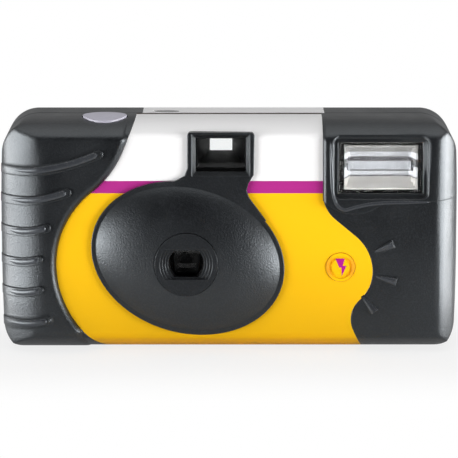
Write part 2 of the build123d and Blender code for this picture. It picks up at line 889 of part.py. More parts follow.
def lens_barrel():
    """Tube that holds the lenses, on the plate in front of the shutter blade."""
    plate_back = plate_front_y - 2 * fit - blade_thickness
    plate_front = plate_back - chassis_wall
    tube = axle(lens_x, lens_z, barrel_front_y, plate_back, barrel_bore + barrel_wall)
    left = blade_pivot_x - 2 * pin_collar
    right = lens_x + barrel_bore + 3 * barrel_wall
    low = lens_z - barrel_bore - 3 * barrel_wall
    high = blade_pivot_z + 2 * pin_collar
    face = Pos((left + right) / 2, (low + high) / 2) * Rectangle(right - left, high - low)
    solid = tube + slab(face, plate_front, plate_back)
    solid = solid - axle(lens_x, lens_z, barrel_front_y - overrun, plate_back + overrun, barrel_bore)
    solid = solid - axle(blade_pivot_x, blade_pivot_z, plate_front - overrun, plate_back + overrun,
                         pin_radius + run)
    for x, z in ((right - peg_radius, low + peg_radius), (right - peg_radius, high - peg_radius),
                 (left + peg_radius, low + peg_radius)):
        solid = solid + block(x - peg_radius, x + peg_radius, plate_front, plate_front_y,
                              z - peg_radius, z + peg_radius)
    return solid


def aperture_plate():
    """Thin square plate with the stop."""
    plate = slab(Pos(lens_x, lens_z) * Rectangle(aperture_side, aperture_side), aperture_y,
                 aperture_y + aperture_thickness)
    return plate - axle(lens_x, lens_z, aperture_y, aperture_y + aperture_thickness, aperture_bore)


def viewfinder_tunnel():
    """Tapered see-through tunnel."""
    tunnel_back = inner_back - seat
    shells = []
    for grow in (tunnel_wall, 0.0):
        mouth = frame_of(finder_x, finder_z, finder_window_width - tunnel_margin,
                         finder_window_height - 2 * tunnel_margin, grow)
        throat = frame_of(finder_x, finder_z, eyepiece_width - tunnel_margin,
                          eyepiece_height - tunnel_margin, grow)
        shells.append(tapered(mouth, throat, tunnel_front_y, tunnel_back))
    return shells[0] - shells[1]


def viewfinder_front_lens():
    """Clear front lens of the viewfinder, hollowed at the back."""
    plate = slab(finder_window(-seat), finder_lens_y, finder_lens_y + finder_lens_thickness)
    bulge = finder_lens_thickness / 2
    half = finder_window_height / 2
    radius = (half * half + bulge * bulge) / (2 * bulge)
    middle_y = finder_lens_y + finder_lens_thickness + radius - bulge
    plane = Plane(origin=(finder_x - finder_window_width, middle_y, finder_z), x_dir=(0, 1, 0), z_dir=(1, 0, 0))
    return plate - extrude(plane * Circle(radius), amount=2 * finder_window_width)


def viewfinder_eyepiece():
    """Clear eyepiece in the back cover."""
    face = Pos(finder_x, finder_z) * Rectangle(eyepiece_width, eyepiece_height)
    return slab(face, back_y - seat - eyepiece_thickness, back_y - seat)


def flash_window():
    """Clear flash window."""
    return slab(window_face(), window_y, window_y + window_thickness)


def trough(grow):
    """Flared trough of the reflector: rounded above and below, with flared end walls."""
    y_front = window_y + window_thickness + seat
    half_height = reflector_height / 2 - reflector_wall + grow
    half_width = reflector_width / 2 - reflector_wall + grow
    floor = reflector_depth - reflector_wall + grow
    half_floor = half_height * reflector_floor_share
    bend_y = y_front + floor * reflector_bend_depth_share
    half_bend = half_height * reflector_bend_height_share
    profile = make_face([
        ThreePointArc((y_front, half_height), (bend_y, half_bend), (y_front + floor, half_floor)),
        Line((y_front + floor, half_floor), (y_front + floor, -half_floor)),
        ThreePointArc((y_front + floor, -half_floor), (bend_y, -half_bend), (y_front, -half_height)),
        Line((y_front, -half_height), (y_front, half_height)),
    ])
    plane = Plane(origin=(flash_x - half_width, 0, flash_z), x_dir=(0, 1, 0), z_dir=(1, 0, 0))
    long = extrude(plane * profile, amount=2 * half_width)
    half_foot = half_width * reflector_foot_share
    plan = make_face(Polyline((flash_x - half_width, y_front), (flash_x + half_width, y_front),
                              (flash_x + half_foot, y_front + floor), (flash_x - half_foot, y_front + floor),
                              close=True))
    return long & lift(plan, flash_z - half_height, flash_z + half_height)


def flash_reflector():
    """Thin bright trough behind the flash window."""
    solid = trough(reflector_wall) - trough(0.0)
    return solid - tube_rod(tube_radius + seat, tube_length)


def tube_rod(radius, length):
    """Cylinder along the axis of the flash tube."""
    y = window_y + window_thickness + reflector_depth - 2 * tube_radius
    plane = Plane(origin=(flash_x - length / 2, y, flash_z), x_dir=(0, 1, 0), z_dir=(1, 0, 0))
    return extrude(plane * Circle(radius), amount=length)


def flash_tube():
    """Glass flash tube."""
    return tube_rod(tube_radius, tube_length)


def flash_button():
    """Push button with a pressed ring and a flange behind the front wall."""
    top = front_y - flash_button_rise
    flange_front = inner_front + seat
    flange_back = flange_front + flash_button_flange_thickness
    solid = axle(flash_button_x, flash_button_z, top, flange_back, flash_button_radius)
    flange = flash_button_radius + flash_button_flange
    solid = solid + axle(flash_button_x, flash_button_z, flange_front, flange_back, flange)
    outer = flash_button_radius - flash_button_groove
    groove = (axle(flash_button_x, flash_button_z, top, top + flash_button_groove_depth, outer)
              - axle(flash_button_x, flash_button_z, top, top + flash_button_groove_depth,
                     outer - flash_button_groove))
    return solid - groove


def toothed(radius, tooth, teeth, x, y):
    """Plan view of a disc with pointed teeth."""
    points = []
    for index in range(teeth):
        for reach, turn in ((radius + tooth, index), (radius, index + 1 / 2)):
            angle = 2 * pi * turn / teeth
            points.append((x + reach * cos(angle), y + reach * sin(angle)))
    return make_face(Polyline(*points, close=True))


def thumbwheel():
    """Winding wheel: notched rim, dished top, hub that reaches through the deck."""
    face = toothed(wheel_radius - wheel_tooth, wheel_tooth, wheel_teeth, cartridge_x, cartridge_y)
    solid = lift(face, wheel_low, wheel_high)
    solid = solid - rod(cartridge_x, cartridge_y, wheel_high - wheel_dish_depth, wheel_high, wheel_dish_radius)
    return solid + rod(cartridge_x, cartridge_y, cartridge_high, wheel_low, wheel_hub_radius)


def cartridge_spool():
    """Core of the cartridge, its ends in the two caps."""
    return rod(cartridge_x, cartridge_y, cartridge_low - spool_tail, cartridge_high, spool_end_radius)


def cartridge_shell():
    """Sheet metal shell with its end caps and the folded lip where the film goes in."""
    low = cartridge_low + cap_thickness
    high = cartridge_high - cap_thickness
    inner = cartridge_radius - shell_wall
    lip_left = cartridge_x + sqrt(inner ** 2 - (film_y - cartridge_y) ** 2)
    solid = rod(cartridge_x, cartridge_y, cartridge_low, cartridge_high, cartridge_radius)
    solid = solid + block(cartridge_x, lip_left + 2 * lip_reach, film_y - lip_gap,
                          film_y + film_thickness + lip_gap, low, high)
    solid = solid - rod(cartridge_x, cartridge_y, low, high, inner)
    mouth = block(cartridge_x, lip_left + 3 * lip_reach, film_y - lip_gap / 2,
                  film_y + film_thickness + lip_gap / 2, low, high)
    return solid - mouth - rod(cartridge_x, cartridge_y, cartridge_low, cartridge_high, spool_end_radius + run)


def film_strip():
    """Film from the cartridge lip over the gate to the roll, with its two rows of holes."""
    left = cartridge_x + sqrt(cartridge_radius ** 2 - (film_y - cartridge_y) ** 2) + fit
    solid = block(left, supply_x, film_y, film_y + film_thickness, film_low, film_high)
    count = int((supply_x - left) / perforation_pitch)
    first = (left + supply_x - (count - 1) * perforation_pitch) / 2
    hole = Rectangle(perforation_width, perforation_height)
    for height in (film_low + perforation_margin, film_high - perforation_margin):
        for index in range(count):
            place = Pos(first + index * perforation_pitch, height)
            solid = solid - slab(place * hole, film_y, film_y + film_thickness)
    return solid


def supply_spool():
    """Core that holds the wound film at the start, its ends in the two bearing plates."""
    reach = fit + supply_pin_length
    return rod(supply_x, supply_y, film_low - reach, film_high + reach, supply_core_radius)


def film_roll():
    """Wound film on the supply spool."""
    roll = rod(supply_x, supply_y, film_low, film_high, supply_roll_radius)
    return roll - rod(supply_x, supply_y, film_low, film_high, supply_core_radius)


def baffle():
    """Light-tight pyramid from the lens to the film gate, as its outside and its inside."""
    made = []
    for grow in (chassis_wall, 0.0):
        small = frame_of(lens_x, lens_z, light_hole, light_hole, grow)
        large = frame_of(lens_x, film_z, gate_width, gate_height, grow)
        made.append(tapered(small, large, plate_front_y, film_y - gate_gap))
    return made


def chassis():
    """Inner frame: baffle and gate, film chambers, deck, bearings, posts and pegs."""
    gate_back = film_y - gate_gap
    gate_front = gate_back - chassis_wall
    outer, inner = baffle()
    rail_low = film_low - fit
    rail_high = film_high + fit
    chamber_radius = cartridge_radius + chamber_gap
    gate_left = cartridge_x + sqrt(chamber_radius ** 2 - (gate_front - cartridge_y) ** 2)
    supply_room = supply_roll_radius + chamber_gap
    gate_right = supply_x - sqrt(supply_room ** 2 - (gate_front - supply_y) ** 2)
    solid = block(gate_left, gate_right, gate_front, gate_back, rail_low - rail_height, rail_high + rail_height)
    for low in (rail_low - rail_height, rail_high):
        solid = solid + block(gate_left, gate_right, gate_back, gate_back + rail_rise, low, low + rail_height)
    solid = solid + outer
    top = deck_low - chassis_wall
    plate_left = gate_left + chassis_wall
    plate_right = finder_x + finder_window_width / 2 + 2 * chassis_wall
    solid = solid + block(plate_left, plate_right, plate_front_y, plate_front_y + chassis_wall, plate_low, top)
    solid = solid - inner
    # Chamber round the cartridge, open to the left and to the back
    ring = (rod(cartridge_x, cartridge_y, film_low - fit, deck_low, chamber_radius + chassis_wall)
            - rod(cartridge_x, cartridge_y, film_low - fit, deck_low, chamber_radius))
    solid = solid + (ring & block(cartridge_x - cartridge_radius / 2, body_width, front_y - dome_height,
                                  gate_back, 0, body_height))
    # Chamber round the supply roll with its two bearing plates
    spool_low = film_low - 2 * fit
    spool_high = film_high + 2 * fit
    ring = (rod(supply_x, supply_y, spool_low, spool_high, supply_room + chassis_wall)
            - rod(supply_x, supply_y, spool_low, spool_high, supply_room))
    solid = solid + (ring & block(-body_width, body_width, front_y, gate_back, 0, body_height))
    for low in (spool_low - chassis_wall, spool_high):
        plate = block(gate_right - chassis_wall, supply_x + supply_room + chassis_wall,
                      supply_y - supply_room, gate_back, low, low + chassis_wall)
        solid = solid + (plate - rod(supply_x, supply_y, low, low + chassis_wall, supply_core_radius + run))
    # Deck over the cartridge and shelf under the viewfinder
    deck_right = finder_x - finder_window_width / 2 - 2 * chassis_wall
    solid = solid + block(-body_width, deck_right, plate_front_y, inner_back, deck_low, deck_high)
    solid = solid + block(gate_left, supply_x, plate_front_y, gate_back, top, deck_low + seat)
    for x in (gate_left, gate_right - chassis_wall):
        solid = solid + block(x, x + chassis_wall, gate_front, gate_back, rail_high, top)
    solid = solid - rod(cartridge_x, cartridge_y, top, deck_high, wheel_hub_radius + 2 * run)
    solid = solid - rod(cartridge_x, cartridge_y, top, deck_low, chamber_radius)
    # Room for the sprocket and its shaft
    sprocket_room = sprocket_radius + sprocket_tooth + fit
    solid = solid - rod(sprocket_x, sprocket_y, sprocket_z - sprocket_thickness / 2 - fit,
                        sprocket_z + sprocket_thickness / 2 + fit, sprocket_room)
    solid = solid - rod(sprocket_x, sprocket_y, sprocket_z, deck_high, shaft_radius + run)
    # Cradle over the battery
    cell_room = cell_radius + fit / 2
    for x in (cell_x + 2 * rail_height, plate_right - 2 * rail_height):
        rib = block(x, x + rail_height, plate_front_y, cell_y + cell_radius + rail_height, cell_z, plate_low + chassis_wall)
        solid = solid + rib
    plane = Plane(origin=(cell_x, cell_y, cell_z), x_dir=(0, 1, 0), z_dir=(1, 0, 0))
    solid = solid - extrude(plane * Circle(cell_room), amount=cell_length + cell_tip_length)
    # Posts for the levers and the counter, pin for the blade
    solid = solid + rod(metering_x, metering_y, deck_low, metering_low + lever_thickness + fit, post_radius)
    solid = solid + rod(energy_x, energy_y, top, energy_low + lever_thickness + spring_wall + 2 * fit, post_radius)
    solid = solid + rod(counter_x, counter_y, deck_low, counter_low + counter_thickness + fit, counter_post_radius)
    pin_front = plate_front_y - 2 * fit - blade_thickness - chassis_wall - spring_wall - fit
    solid = solid + axle(blade_pivot_x, blade_pivot_z, pin_front, plate_front_y, pin_radius)
    # Pegs that carry the flash board
    for x in (board_left + peg_inset, supply_x + peg_offset):
        wall_y = supply_y - sqrt((supply_room + chassis_wall) ** 2 - (supply_x - x) ** 2)
        for z in (board_low + 3 * peg_radius, board_high - 3 * peg_radius):
            solid = solid + block(x - peg_radius, x + peg_radius, board_y + board_thickness,
                                  wall_y + chassis_wall, z - peg_radius, z + peg_radius)
    # Room for the folded lip of the cartridge
    lip_right = cartridge_x + sqrt(cartridge_radius ** 2 - (film_y - cartridge_y) ** 2) + 2 * lip_reach
    solid = solid - block(cartridge_x, lip_right, film_y - lip_gap - fit, inner_back,
                          cartridge_low, cartridge_high)
    return (solid & interior(seat)) - scoop(wall + seat)


def sprocket_face():
    """Plan view of the film sprocket with its eight square teeth."""
    face = Pos(sprocket_x, sprocket_y) * Circle(sprocket_radius)
    for index in range(sprocket_teeth):
        turn = Pos(sprocket_x, sprocket_y) * Rot(0, 0, 360 * index / sprocket_teeth)
        face = face + turn * Pos(sprocket_radius, 0) * Rectangle(2 * sprocket_tooth, sprocket_tooth_width)
    return face


def sprocket():
    """Film sprocket with its shaft, the cam and the counter kicker."""
    low = sprocket_z - sprocket_thickness / 2
    solid = lift(sprocket_face(), low, low + sprocket_thickness)
    shaft_top = counter_low - fit
    solid = solid + rod(sprocket_x, sprocket_y, low, shaft_top, shaft_radius)
    cam = Circle(cam_radius) - Pos(cam_radius, 0) * Rectangle(cam_radius, 2 * cam_radius)
    cam = Pos(sprocket_x, sprocket_y) * cam
    solid = solid + lift(cam, metering_low, metering_low + cam_thickness)
    kicker = Pos(sprocket_x, sprocket_y) * (Circle(shaft_radius) + Pos(shaft_radius / 2, 0)
                                            * Rectangle(shaft_radius, shaft_radius / 2))
    return solid + lift(kicker, shaft_top - counter_gear_height, shaft_top)


def counter_wheel():
    """Counter dial with the toothed hub under it."""
    face = toothed(counter_gear_radius - kicker_gap, kicker_gap, counter_gear_teeth, counter_x, counter_y)
    solid = rod(counter_x, counter_y, counter_low, counter_low + counter_thickness, counter_radius)
    solid = solid + lift(face, counter_low - counter_gear_height - fit, counter_low)
    return solid - rod(counter_x, counter_y, counter_low - body_height, body_height, counter_post_radius + run)


def shutter_button():
    """Push button that follows the top of the body, with a flange and a finger below."""
    stem = rod(button_x, button_y, button_flange_low, body_height + overrun, button_radius)
    skin = front_form(front_y - grip_rise, button_crown, grip_extra_round)
    solid = stem & skin
    reach = button_radius + button_flange
    solid = solid + block(button_x - reach, button_x + button_flange_side, button_y - reach, button_y + reach,
                          button_flange_low, button_flange_low + button_flange_thickness)
    return solid + rod(finger_x, finger_y, finger_low, button_flange_low, finger_radius)


def shutter_blade():
    """Thin blade: disc over the light hole, arm, pivot collar and tail."""
    pivot = (blade_pivot_x, blade_pivot_z)
    face = bar(pivot, (lens_x, lens_z), blade_arm_width) + bar(pivot, (pivot[0], pivot[1] + blade_tail - blade_arm_width / 2),
                                                              blade_arm_width)
    face = face + Pos(lens_x, lens_z) * Circle(blade_disc_radius) + Pos(*pivot) * Circle(pin_collar)
    back = plate_front_y - fit
    solid = slab(face, back - blade_thickness, back)
    return solid - axle(*pivot, back - blade_thickness, back, pin_radius + run)


def metering_lever():
    """Lever between the button finger and the cam."""
    pivot = (metering_x, metering_y)
    face = bar(pivot, (metering_arm_x, metering_arm_y), metering_arm_width)
    face = face + bar(pivot, (metering_toe_x, metering_toe_y), lever_width) + Pos(*pivot) * Circle(pin_collar)
    solid = lift(face, metering_low, metering_low + lever_thickness)
    return solid - rod(*pivot, metering_low, metering_low + lever_thickness, post_radius + run)


def energy_lever():
    """Spring-loaded lever with the finger that strikes the blade."""
    pivot = (energy_x, energy_y)
    ends = []
    for angle in (energy_finger_angle, energy_latch_angle):
        ends.append((energy_x + energy_reach * cos(radians(angle)), energy_y + energy_reach * sin(radians(angle))))
    face = bar(pivot, ends[0], energy_arm_width) + bar(pivot, ends[1], energy_arm_width)
    face = face + Pos(*pivot) * Circle(pin_collar)
    solid = lift(face, energy_low, energy_low + lever_thickness)
    solid = solid + rod(*ends[0], energy_finger_low, energy_low + lever_thickness, energy_arm_width / 2)
    return solid - rod(*pivot, energy_low, energy_low + lever_thickness, post_radius + run)


def lever_spring():
    """Hairpin spring that hooks behind the lever post and rests on the viewfinder shelf."""
    low = energy_low + lever_thickness + fit
    inner = post_radius + spring_gap
    outer = inner + spring_wall
    solid = block(energy_x - outer, energy_x - inner, energy_y - outer, energy_y + spring_leg, low, low + spring_wall)
    solid = solid + block(energy_x - outer, energy_x + outer, energy_y - outer, energy_y - inner, low, low + spring_wall)
    return solid + block(energy_x + inner, energy_x + outer, energy_y - outer, energy_y + spring_leg / 2,
                         low, low + spring_wall)


def blade_spring():
    """Hairpin spring round the blade pin, in front of the barrel plate."""
    back = plate_front_y - 2 * fit - blade_thickness - chassis_wall - seat
    front = back - spring_wall
    inner = pin_radius + spring_gap
    outer = inner + spring_wall
    solid = block(blade_pivot_x - outer, blade_pivot_x - inner, front, back, blade_pivot_z - spring_leg,
                  blade_pivot_z + outer)
    solid = solid + block(blade_pivot_x - outer, blade_pivot_x + outer, front, back, blade_pivot_z + inner,
                          blade_pivot_z + outer)
    return solid + block(blade_pivot_x + inner, blade_pivot_x + outer, front, back,
                         blade_pivot_z - spring_leg / 2, blade_pivot_z + outer)


def battery_cell():
    """Small round cell with its raised tip."""
    plane = Plane(origin=(cell_x, cell_y, cell_z), x_dir=(0, 1, 0), z_dir=(1, 0, 0))
    body = extrude(plane * Circle(cell_radius), amount=cell_length)
    return body + extrude(plane * Circle(cell_tip_radius), amount=cell_length + cell_tip_length)


def battery_contacts():
    """Two bent contact strips, one at each end of the cell."""
    left = cell_x - contact_thickness
    right = cell_x + cell_length + cell_tip_length
    made = None
    for x in (left, right):
        strip = block(x, x + contact_thickness, cell_y - contact_width / 2, cell_y + contact_width / 2,
                      cell_z - contact_width / 2, cell_z + contact_width / 2)
        made = strip if made is None else made + strip
    return made


def flash_board():
    """Printed board behind the right front panel."""
    face = Pos((board_left + board_right) / 2, (board_low + board_high) / 2) * Rectangle(
        board_right - board_left, board_high - board_low)
    return slab(face, board_y, board_y + board_thickness)


def main_capacitor():
    """Upright flash capacitor."""
    y = board_y + board_thickness + seat + capacitor_radius
    return rod(capacitor_x, y, capacitor_low, capacitor_low + capacitor_length, capacitor_radius)


def step_up_transformer():
    """Transformer: two core plates and the winding between them."""
    y = board_y + board_thickness + seat
    flange = transformer_flange
    left = transformer_x - transformer_width / 2
    right = transformer_x + transformer_width / 2
    solid = block(left, left + flange, y, y + transformer_depth, transformer_low, transformer_low + transformer_height)
    solid = solid + block(right - flange, right, y, y + transformer_depth, transformer_low,
                          transformer_low + transformer_height)
    return solid + block(left, right, y + transformer_inset, y + transformer_depth - transformer_inset,
                         transformer_low + transformer_inset, transformer_low + transformer_height - transformer_inset)


def trigger_coil():
    """Small upright trigger coil beside the reflector."""
    y = board_y + board_thickness + seat + coil_radius
    return rod(coil_x, y, coil_z - coil_length / 2, coil_z + coil_length / 2, coil_radius)


def board_components():
    """Small parts on the front of the board."""
    made = None
    for u, v in component_shares:
        x = board_left + u * (board_right - board_left)
        z = board_low + v * (board_high - board_low)
        body = block(x - component_length / 2, x + component_length / 2, board_y - component_height, board_y,
                     z - component_width / 2, z + component_width / 2)
        made = body if made is None else made + body
    return made


def ready_lamp():
    """Neon ready lamp behind its hole in the back cover."""
    return axle(lamp_x, finder_z, back_y - seat - lamp_length, back_y - seat, lamp_radius)


def switch_spring():
    """Bent strip that the flash button pushes on to the board."""
    front = inner_front + 2 * seat + flash_button_flange_thickness + flash_button_travel
    return block(flash_button_x - switch_width / 2, flash_button_x + switch_width / 2,
                 front, board_y, flash_button_z, flash_button_z + 2 * switch_width)


label = label_skin()
back_film = back_label()
nodes = {
    "front_cover": front_cover(label),
    "back_cover": back_cover(back_film),
    "front_label": front_label(label),
    "back_label": back_film,
    "counter_window": counter_window(),
    "lens_ring": lens_ring(),
    "taking_lens": taking_lens(),
    "lens_barrel": lens_barrel(),
    "aperture_plate": aperture_plate(),
    "viewfinder_tunnel": viewfinder_tunnel(),
    "viewfinder_front_lens": viewfinder_front_lens(),
    "viewfinder_eyepiece": viewfinder_eyepiece(),
    "flash_window": flash_window(),
    "flash_reflector": flash_reflector(),
    "flash_tube": flash_tube(),
    "flash_button": flash_button(),
    "thumbwheel": thumbwheel(),
    "cartridge_spool": cartridge_spool(),
    "cartridge_shell": cartridge_shell(),
    "film_strip": film_strip(),
    "supply_spool": supply_spool(),
    "film_roll": film_roll(),
    "chassis": chassis(),
    "sprocket": sprocket(),
    "counter_wheel": counter_wheel(),
    "shutter_button": shutter_button(),
    "shutter_blade": shutter_blade(),
    "metering_lever": metering_lever(),
    "high_energy_lever": energy_lever(),
    "lever_spring": lever_spring(),
    "blade_spring": blade_spring(),
    "battery_cell": battery_cell(),
    "battery_contacts": battery_contacts(),
    "flash_board": flash_board(),
    "main_capacitor": main_capacitor(),
    "step_up_transformer": step_up_transformer(),
    "trigger_coil": trigger_coil(),
    "board_components": board_components(),
    "ready_lamp": ready_lamp(),
    "switch_spring": switch_spring(),
}

os.makedirs("parts", exist_ok=True)
for name, solid in nodes.items():
    export_step(solid, f"parts/{name}.step")
    print(name, round(solid.volume, 2))
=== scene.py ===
"""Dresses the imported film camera: finishes, small raised and printed forms, studio light and the view."""

import json
import logging
import math
from dataclasses import dataclass
from enum import Enum
from typing import Any, ClassVar

import bmesh
import bpy
from mathutils import Matrix, Vector

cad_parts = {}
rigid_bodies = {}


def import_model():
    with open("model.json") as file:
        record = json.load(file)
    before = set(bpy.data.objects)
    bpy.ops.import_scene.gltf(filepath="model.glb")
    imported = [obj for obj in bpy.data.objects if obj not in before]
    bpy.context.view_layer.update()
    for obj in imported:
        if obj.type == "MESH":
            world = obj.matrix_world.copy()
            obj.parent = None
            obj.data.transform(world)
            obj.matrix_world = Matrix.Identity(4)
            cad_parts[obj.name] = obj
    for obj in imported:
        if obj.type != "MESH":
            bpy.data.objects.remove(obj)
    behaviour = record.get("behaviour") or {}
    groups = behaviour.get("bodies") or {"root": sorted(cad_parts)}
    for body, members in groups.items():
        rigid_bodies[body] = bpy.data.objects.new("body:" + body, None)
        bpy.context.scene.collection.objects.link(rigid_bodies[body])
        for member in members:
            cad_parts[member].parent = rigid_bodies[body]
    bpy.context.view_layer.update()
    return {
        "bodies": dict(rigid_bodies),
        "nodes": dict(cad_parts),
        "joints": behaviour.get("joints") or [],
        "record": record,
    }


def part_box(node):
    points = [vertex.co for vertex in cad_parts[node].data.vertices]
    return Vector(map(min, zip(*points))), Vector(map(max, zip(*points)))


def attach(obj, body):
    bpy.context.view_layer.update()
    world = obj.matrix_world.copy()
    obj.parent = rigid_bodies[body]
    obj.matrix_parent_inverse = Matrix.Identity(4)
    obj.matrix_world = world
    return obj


logging.basicConfig(level=logging.INFO, format="%(name)s: %(message)s")
log = logging.getLogger("film_camera")

MM = 0.001
FLOAT = "NodeSocketFloat"
GEOMETRY = "NodeSocketGeometry"

Colour = tuple[float, float, float]
Point = tuple[float, float, float]
Socket = bpy.types.NodeSocket
Line = list[tuple[float, float, float, float]]
Path = tuple[tuple[float, float], ...]


def srgb(red: int, green: int, blue: int) -> Colour:
    """Turns a colour as a screen shows it, from 0 to 255, into a shader's linear one."""
    shares = (part / 255 for part in (red, green, blue))
    return tuple(share / 12.92 if share <= 0.04045 else ((share + 0.055) / 1.055) ** 2.4
                 for share in shares)


class Axis(Enum):
    """A direction of the camera's own frame."""

    ACROSS = 0
    DEEP = 1
    UP = 2


@dataclass
class Graph:
    """Places the nodes of one tree and wires them."""

    tree: bpy.types.NodeTree

    def add(self, kind: str, inputs: dict[Any, Any] | None = None, **settings: Any) -> bpy.types.Node:
        """Adds a node.

        Args:
            kind: The node's type name.
            inputs: Values or sockets for its inputs, by name or number.
            **settings: Properties of the node.

        Returns:
            The new node.
        """
        node = self.tree.nodes.new(kind)
        for name, value in settings.items():
            setattr(node, name, value)
        for name, value in (inputs or {}).items():
            socket = node.inputs[name]
            if isinstance(value, Socket):
                self.tree.links.new(value, socket)
            else:
                socket.default_value = (*value, 1.0) if socket.type == "RGBA" else value
        return node

    def math(self, operation: str, *values: Any, clamp: bool = False) -> Socket:
        """Gives the result of a Math node, held between 0 and 1 where clamp says so."""
        inputs = dict(enumerate(values))
        return self.add("ShaderNodeMath", inputs, operation=operation, use_clamp=clamp).outputs[0]

    def plus(self, first: Any, second: Any) -> Socket:
        """Adds two values."""
        return self.math("ADD", first, second)

    def minus(self, first: Any, second: Any) -> Socket:
        """Takes the second value from the first."""
        return self.math("SUBTRACT", first, second)

    def times(self, first: Any, second: Any, clamp: bool = False) -> Socket:
        """Multiplies two values."""
        return self.math("MULTIPLY", first, second, clamp=clamp)

    def size(self, value: Any) -> Socket:
        """Gives a value without its sign."""
        return self.math("ABSOLUTE", value)

    def most(self, first: Any, second: Any) -> Socket:
        """Gives the larger of two values."""
        return self.math("MAXIMUM", first, second)

    def remap(self, value: Any, low: float, high: float, to_low: float = 0.0, to_high: float = 1.0) -> Socket:
        """Moves a value smoothly from one range, low to high, to another."""
        inputs = {"Value": value, "From Min": low, "From Max": high, "To Min": to_low, "To Max": to_high}
        return self.add("ShaderNodeMapRange", inputs, interpolation_type="SMOOTHSTEP").outputs["Result"]

    def mix(self, share: Any, first: Any, second: Any) -> Socket:
        """Gives the first colour with a share of the second one in it."""
        return self.add("ShaderNodeMix", {0: share, 6: first, 7: second}, data_type="RGBA").outputs[2]

    def place(self) -> Socket:
        """Gives the point of the surface in the object's own frame, in metres."""
        return self.add("ShaderNodeTexCoord").outputs["Object"]

    def along(self, axis: Axis) -> Socket:
        """Gives how far along an axis the point lies, in metres."""
        return self.add("ShaderNodeSeparateXYZ", {0: self.place()}).outputs[axis.value]

    def stretched(self, across: float, deep: float, up: float) -> Socket:
        """Gives the point with each axis scaled, for a texture that is long one way."""
        return self.add("ShaderNodeMapping", {"Vector": self.place(), "Scale": (across, deep, up)}).outputs[0]

    def noise(self, scale: Any, detail: float, point: Socket | None = None, **more: float) -> Socket:
        """Gives an uneven value with so many spots in a metre and finer layers on them."""
        inputs = {"Vector": point or self.place(), "Scale": scale, "Detail": detail, **more}
        return self.add("ShaderNodeTexNoise", inputs).outputs["Fac"]

    def cells(self, scale: Any, **settings: Any) -> Socket:
        """Gives the distance from the middle of the nearest cell, with so many cells in a metre."""
        inputs = {"Vector": self.place(), "Scale": scale}
        return self.add("ShaderNodeTexVoronoi", inputs, **settings).outputs["Distance"]

    def bump(self, height: Socket, depth: float, strength: float = 1.0,
             normal: Socket | None = None) -> Socket:
        """Turns a height, so many metres deep, into a normal that is bumpy over the one given."""
        inputs = {"Strength": strength, "Distance": depth, "Height": height}
        return self.add("ShaderNodeBump", inputs | ({"Normal": normal} if normal else {})).outputs[0]

    def skin(self, colour: Any, roughness: Any, normal: Socket, **more: Any) -> Socket:
        """Gives a surface's shader. An underscore stands for each space in a further input's name."""
        inputs = {"Base_Color": colour, "Roughness": roughness, "Normal": normal, **more}
        return self.add("ShaderNodeBsdfPrincipled",
                        {name.replace("_", " "): value for name, value in inputs.items()}).outputs[0]


class Effect:
    """A node group that several finishes or pieces share, built once."""

    kind = "ShaderNodeTree"
    name = "effect"
    inputs: dict[str, float | None] = {}
    outputs: dict[str, str] = {}

    @classmethod
    def wire(cls, graph: Graph, given: Any) -> dict[str, Socket]:
        """Fills the group's tree from its inputs by name, and gives its outputs by name."""
        raise NotImplementedError

    @classmethod
    def tree(cls) -> bpy.types.NodeTree:
        """Gives the group's tree, which the first call makes.

        Returns:
            The tree.
        """
        found = bpy.data.node_groups.get(cls.name)
        if found:
            return found
        made = bpy.data.node_groups.new(cls.name, cls.kind)
        for name, value in cls.inputs.items():
            kind = GEOMETRY if value is None else FLOAT
            socket = made.interface.new_socket(name=name, in_out="INPUT", socket_type=kind)
            if value is not None:
                socket.default_value = value
        for name, kind in cls.outputs.items():
            made.interface.new_socket(name=name, in_out="OUTPUT", socket_type=kind)
        graph = Graph(made)
        graph.add("NodeGroupOutput", cls.wire(graph, graph.add("NodeGroupInput").outputs))
        return made

    @classmethod
    def put(cls, graph: Graph, **values: Any) -> Any:
        """Places the group in a material with values for its inputs, and gives its outputs by name."""
        return graph.add("ShaderNodeGroup", values, node_tree=cls.tree()).outputs


class Grain(Effect):
    """Spark-eroded mould texture: fine pits with a coarser unevenness under them."""

    name = "mould_grain"
    inputs = {"Size": 0.25 * MM}
    outputs = {"Height": FLOAT, "Mottle": FLOAT}
    pit_share, cell_share = 0.7, 0.3
    cell_scale, broad_scale = 0.8, 0.03

    @classmethod
    def wire(cls, graph: Graph, given: Any) -> dict[str, Socket]:
        """Fills the group.

        Args:
            graph: The group's tree.
            given: The grain's size.

        Returns:
            The height, and a broad unevenness.
        """
        scale = graph.math("DIVIDE", 1.0, given["Size"])
        pits = graph.times(graph.noise(scale, 3.0, Roughness=0.62), cls.pit_share)
        pocks = graph.times(graph.cells(graph.times(scale, cls.cell_scale)), cls.cell_share)
        broad = graph.noise(graph.times(scale, cls.broad_scale), 2.0)
        return {"Height": graph.plus(pits, pocks), "Mottle": graph.remap(broad, 0.3, 0.7)}


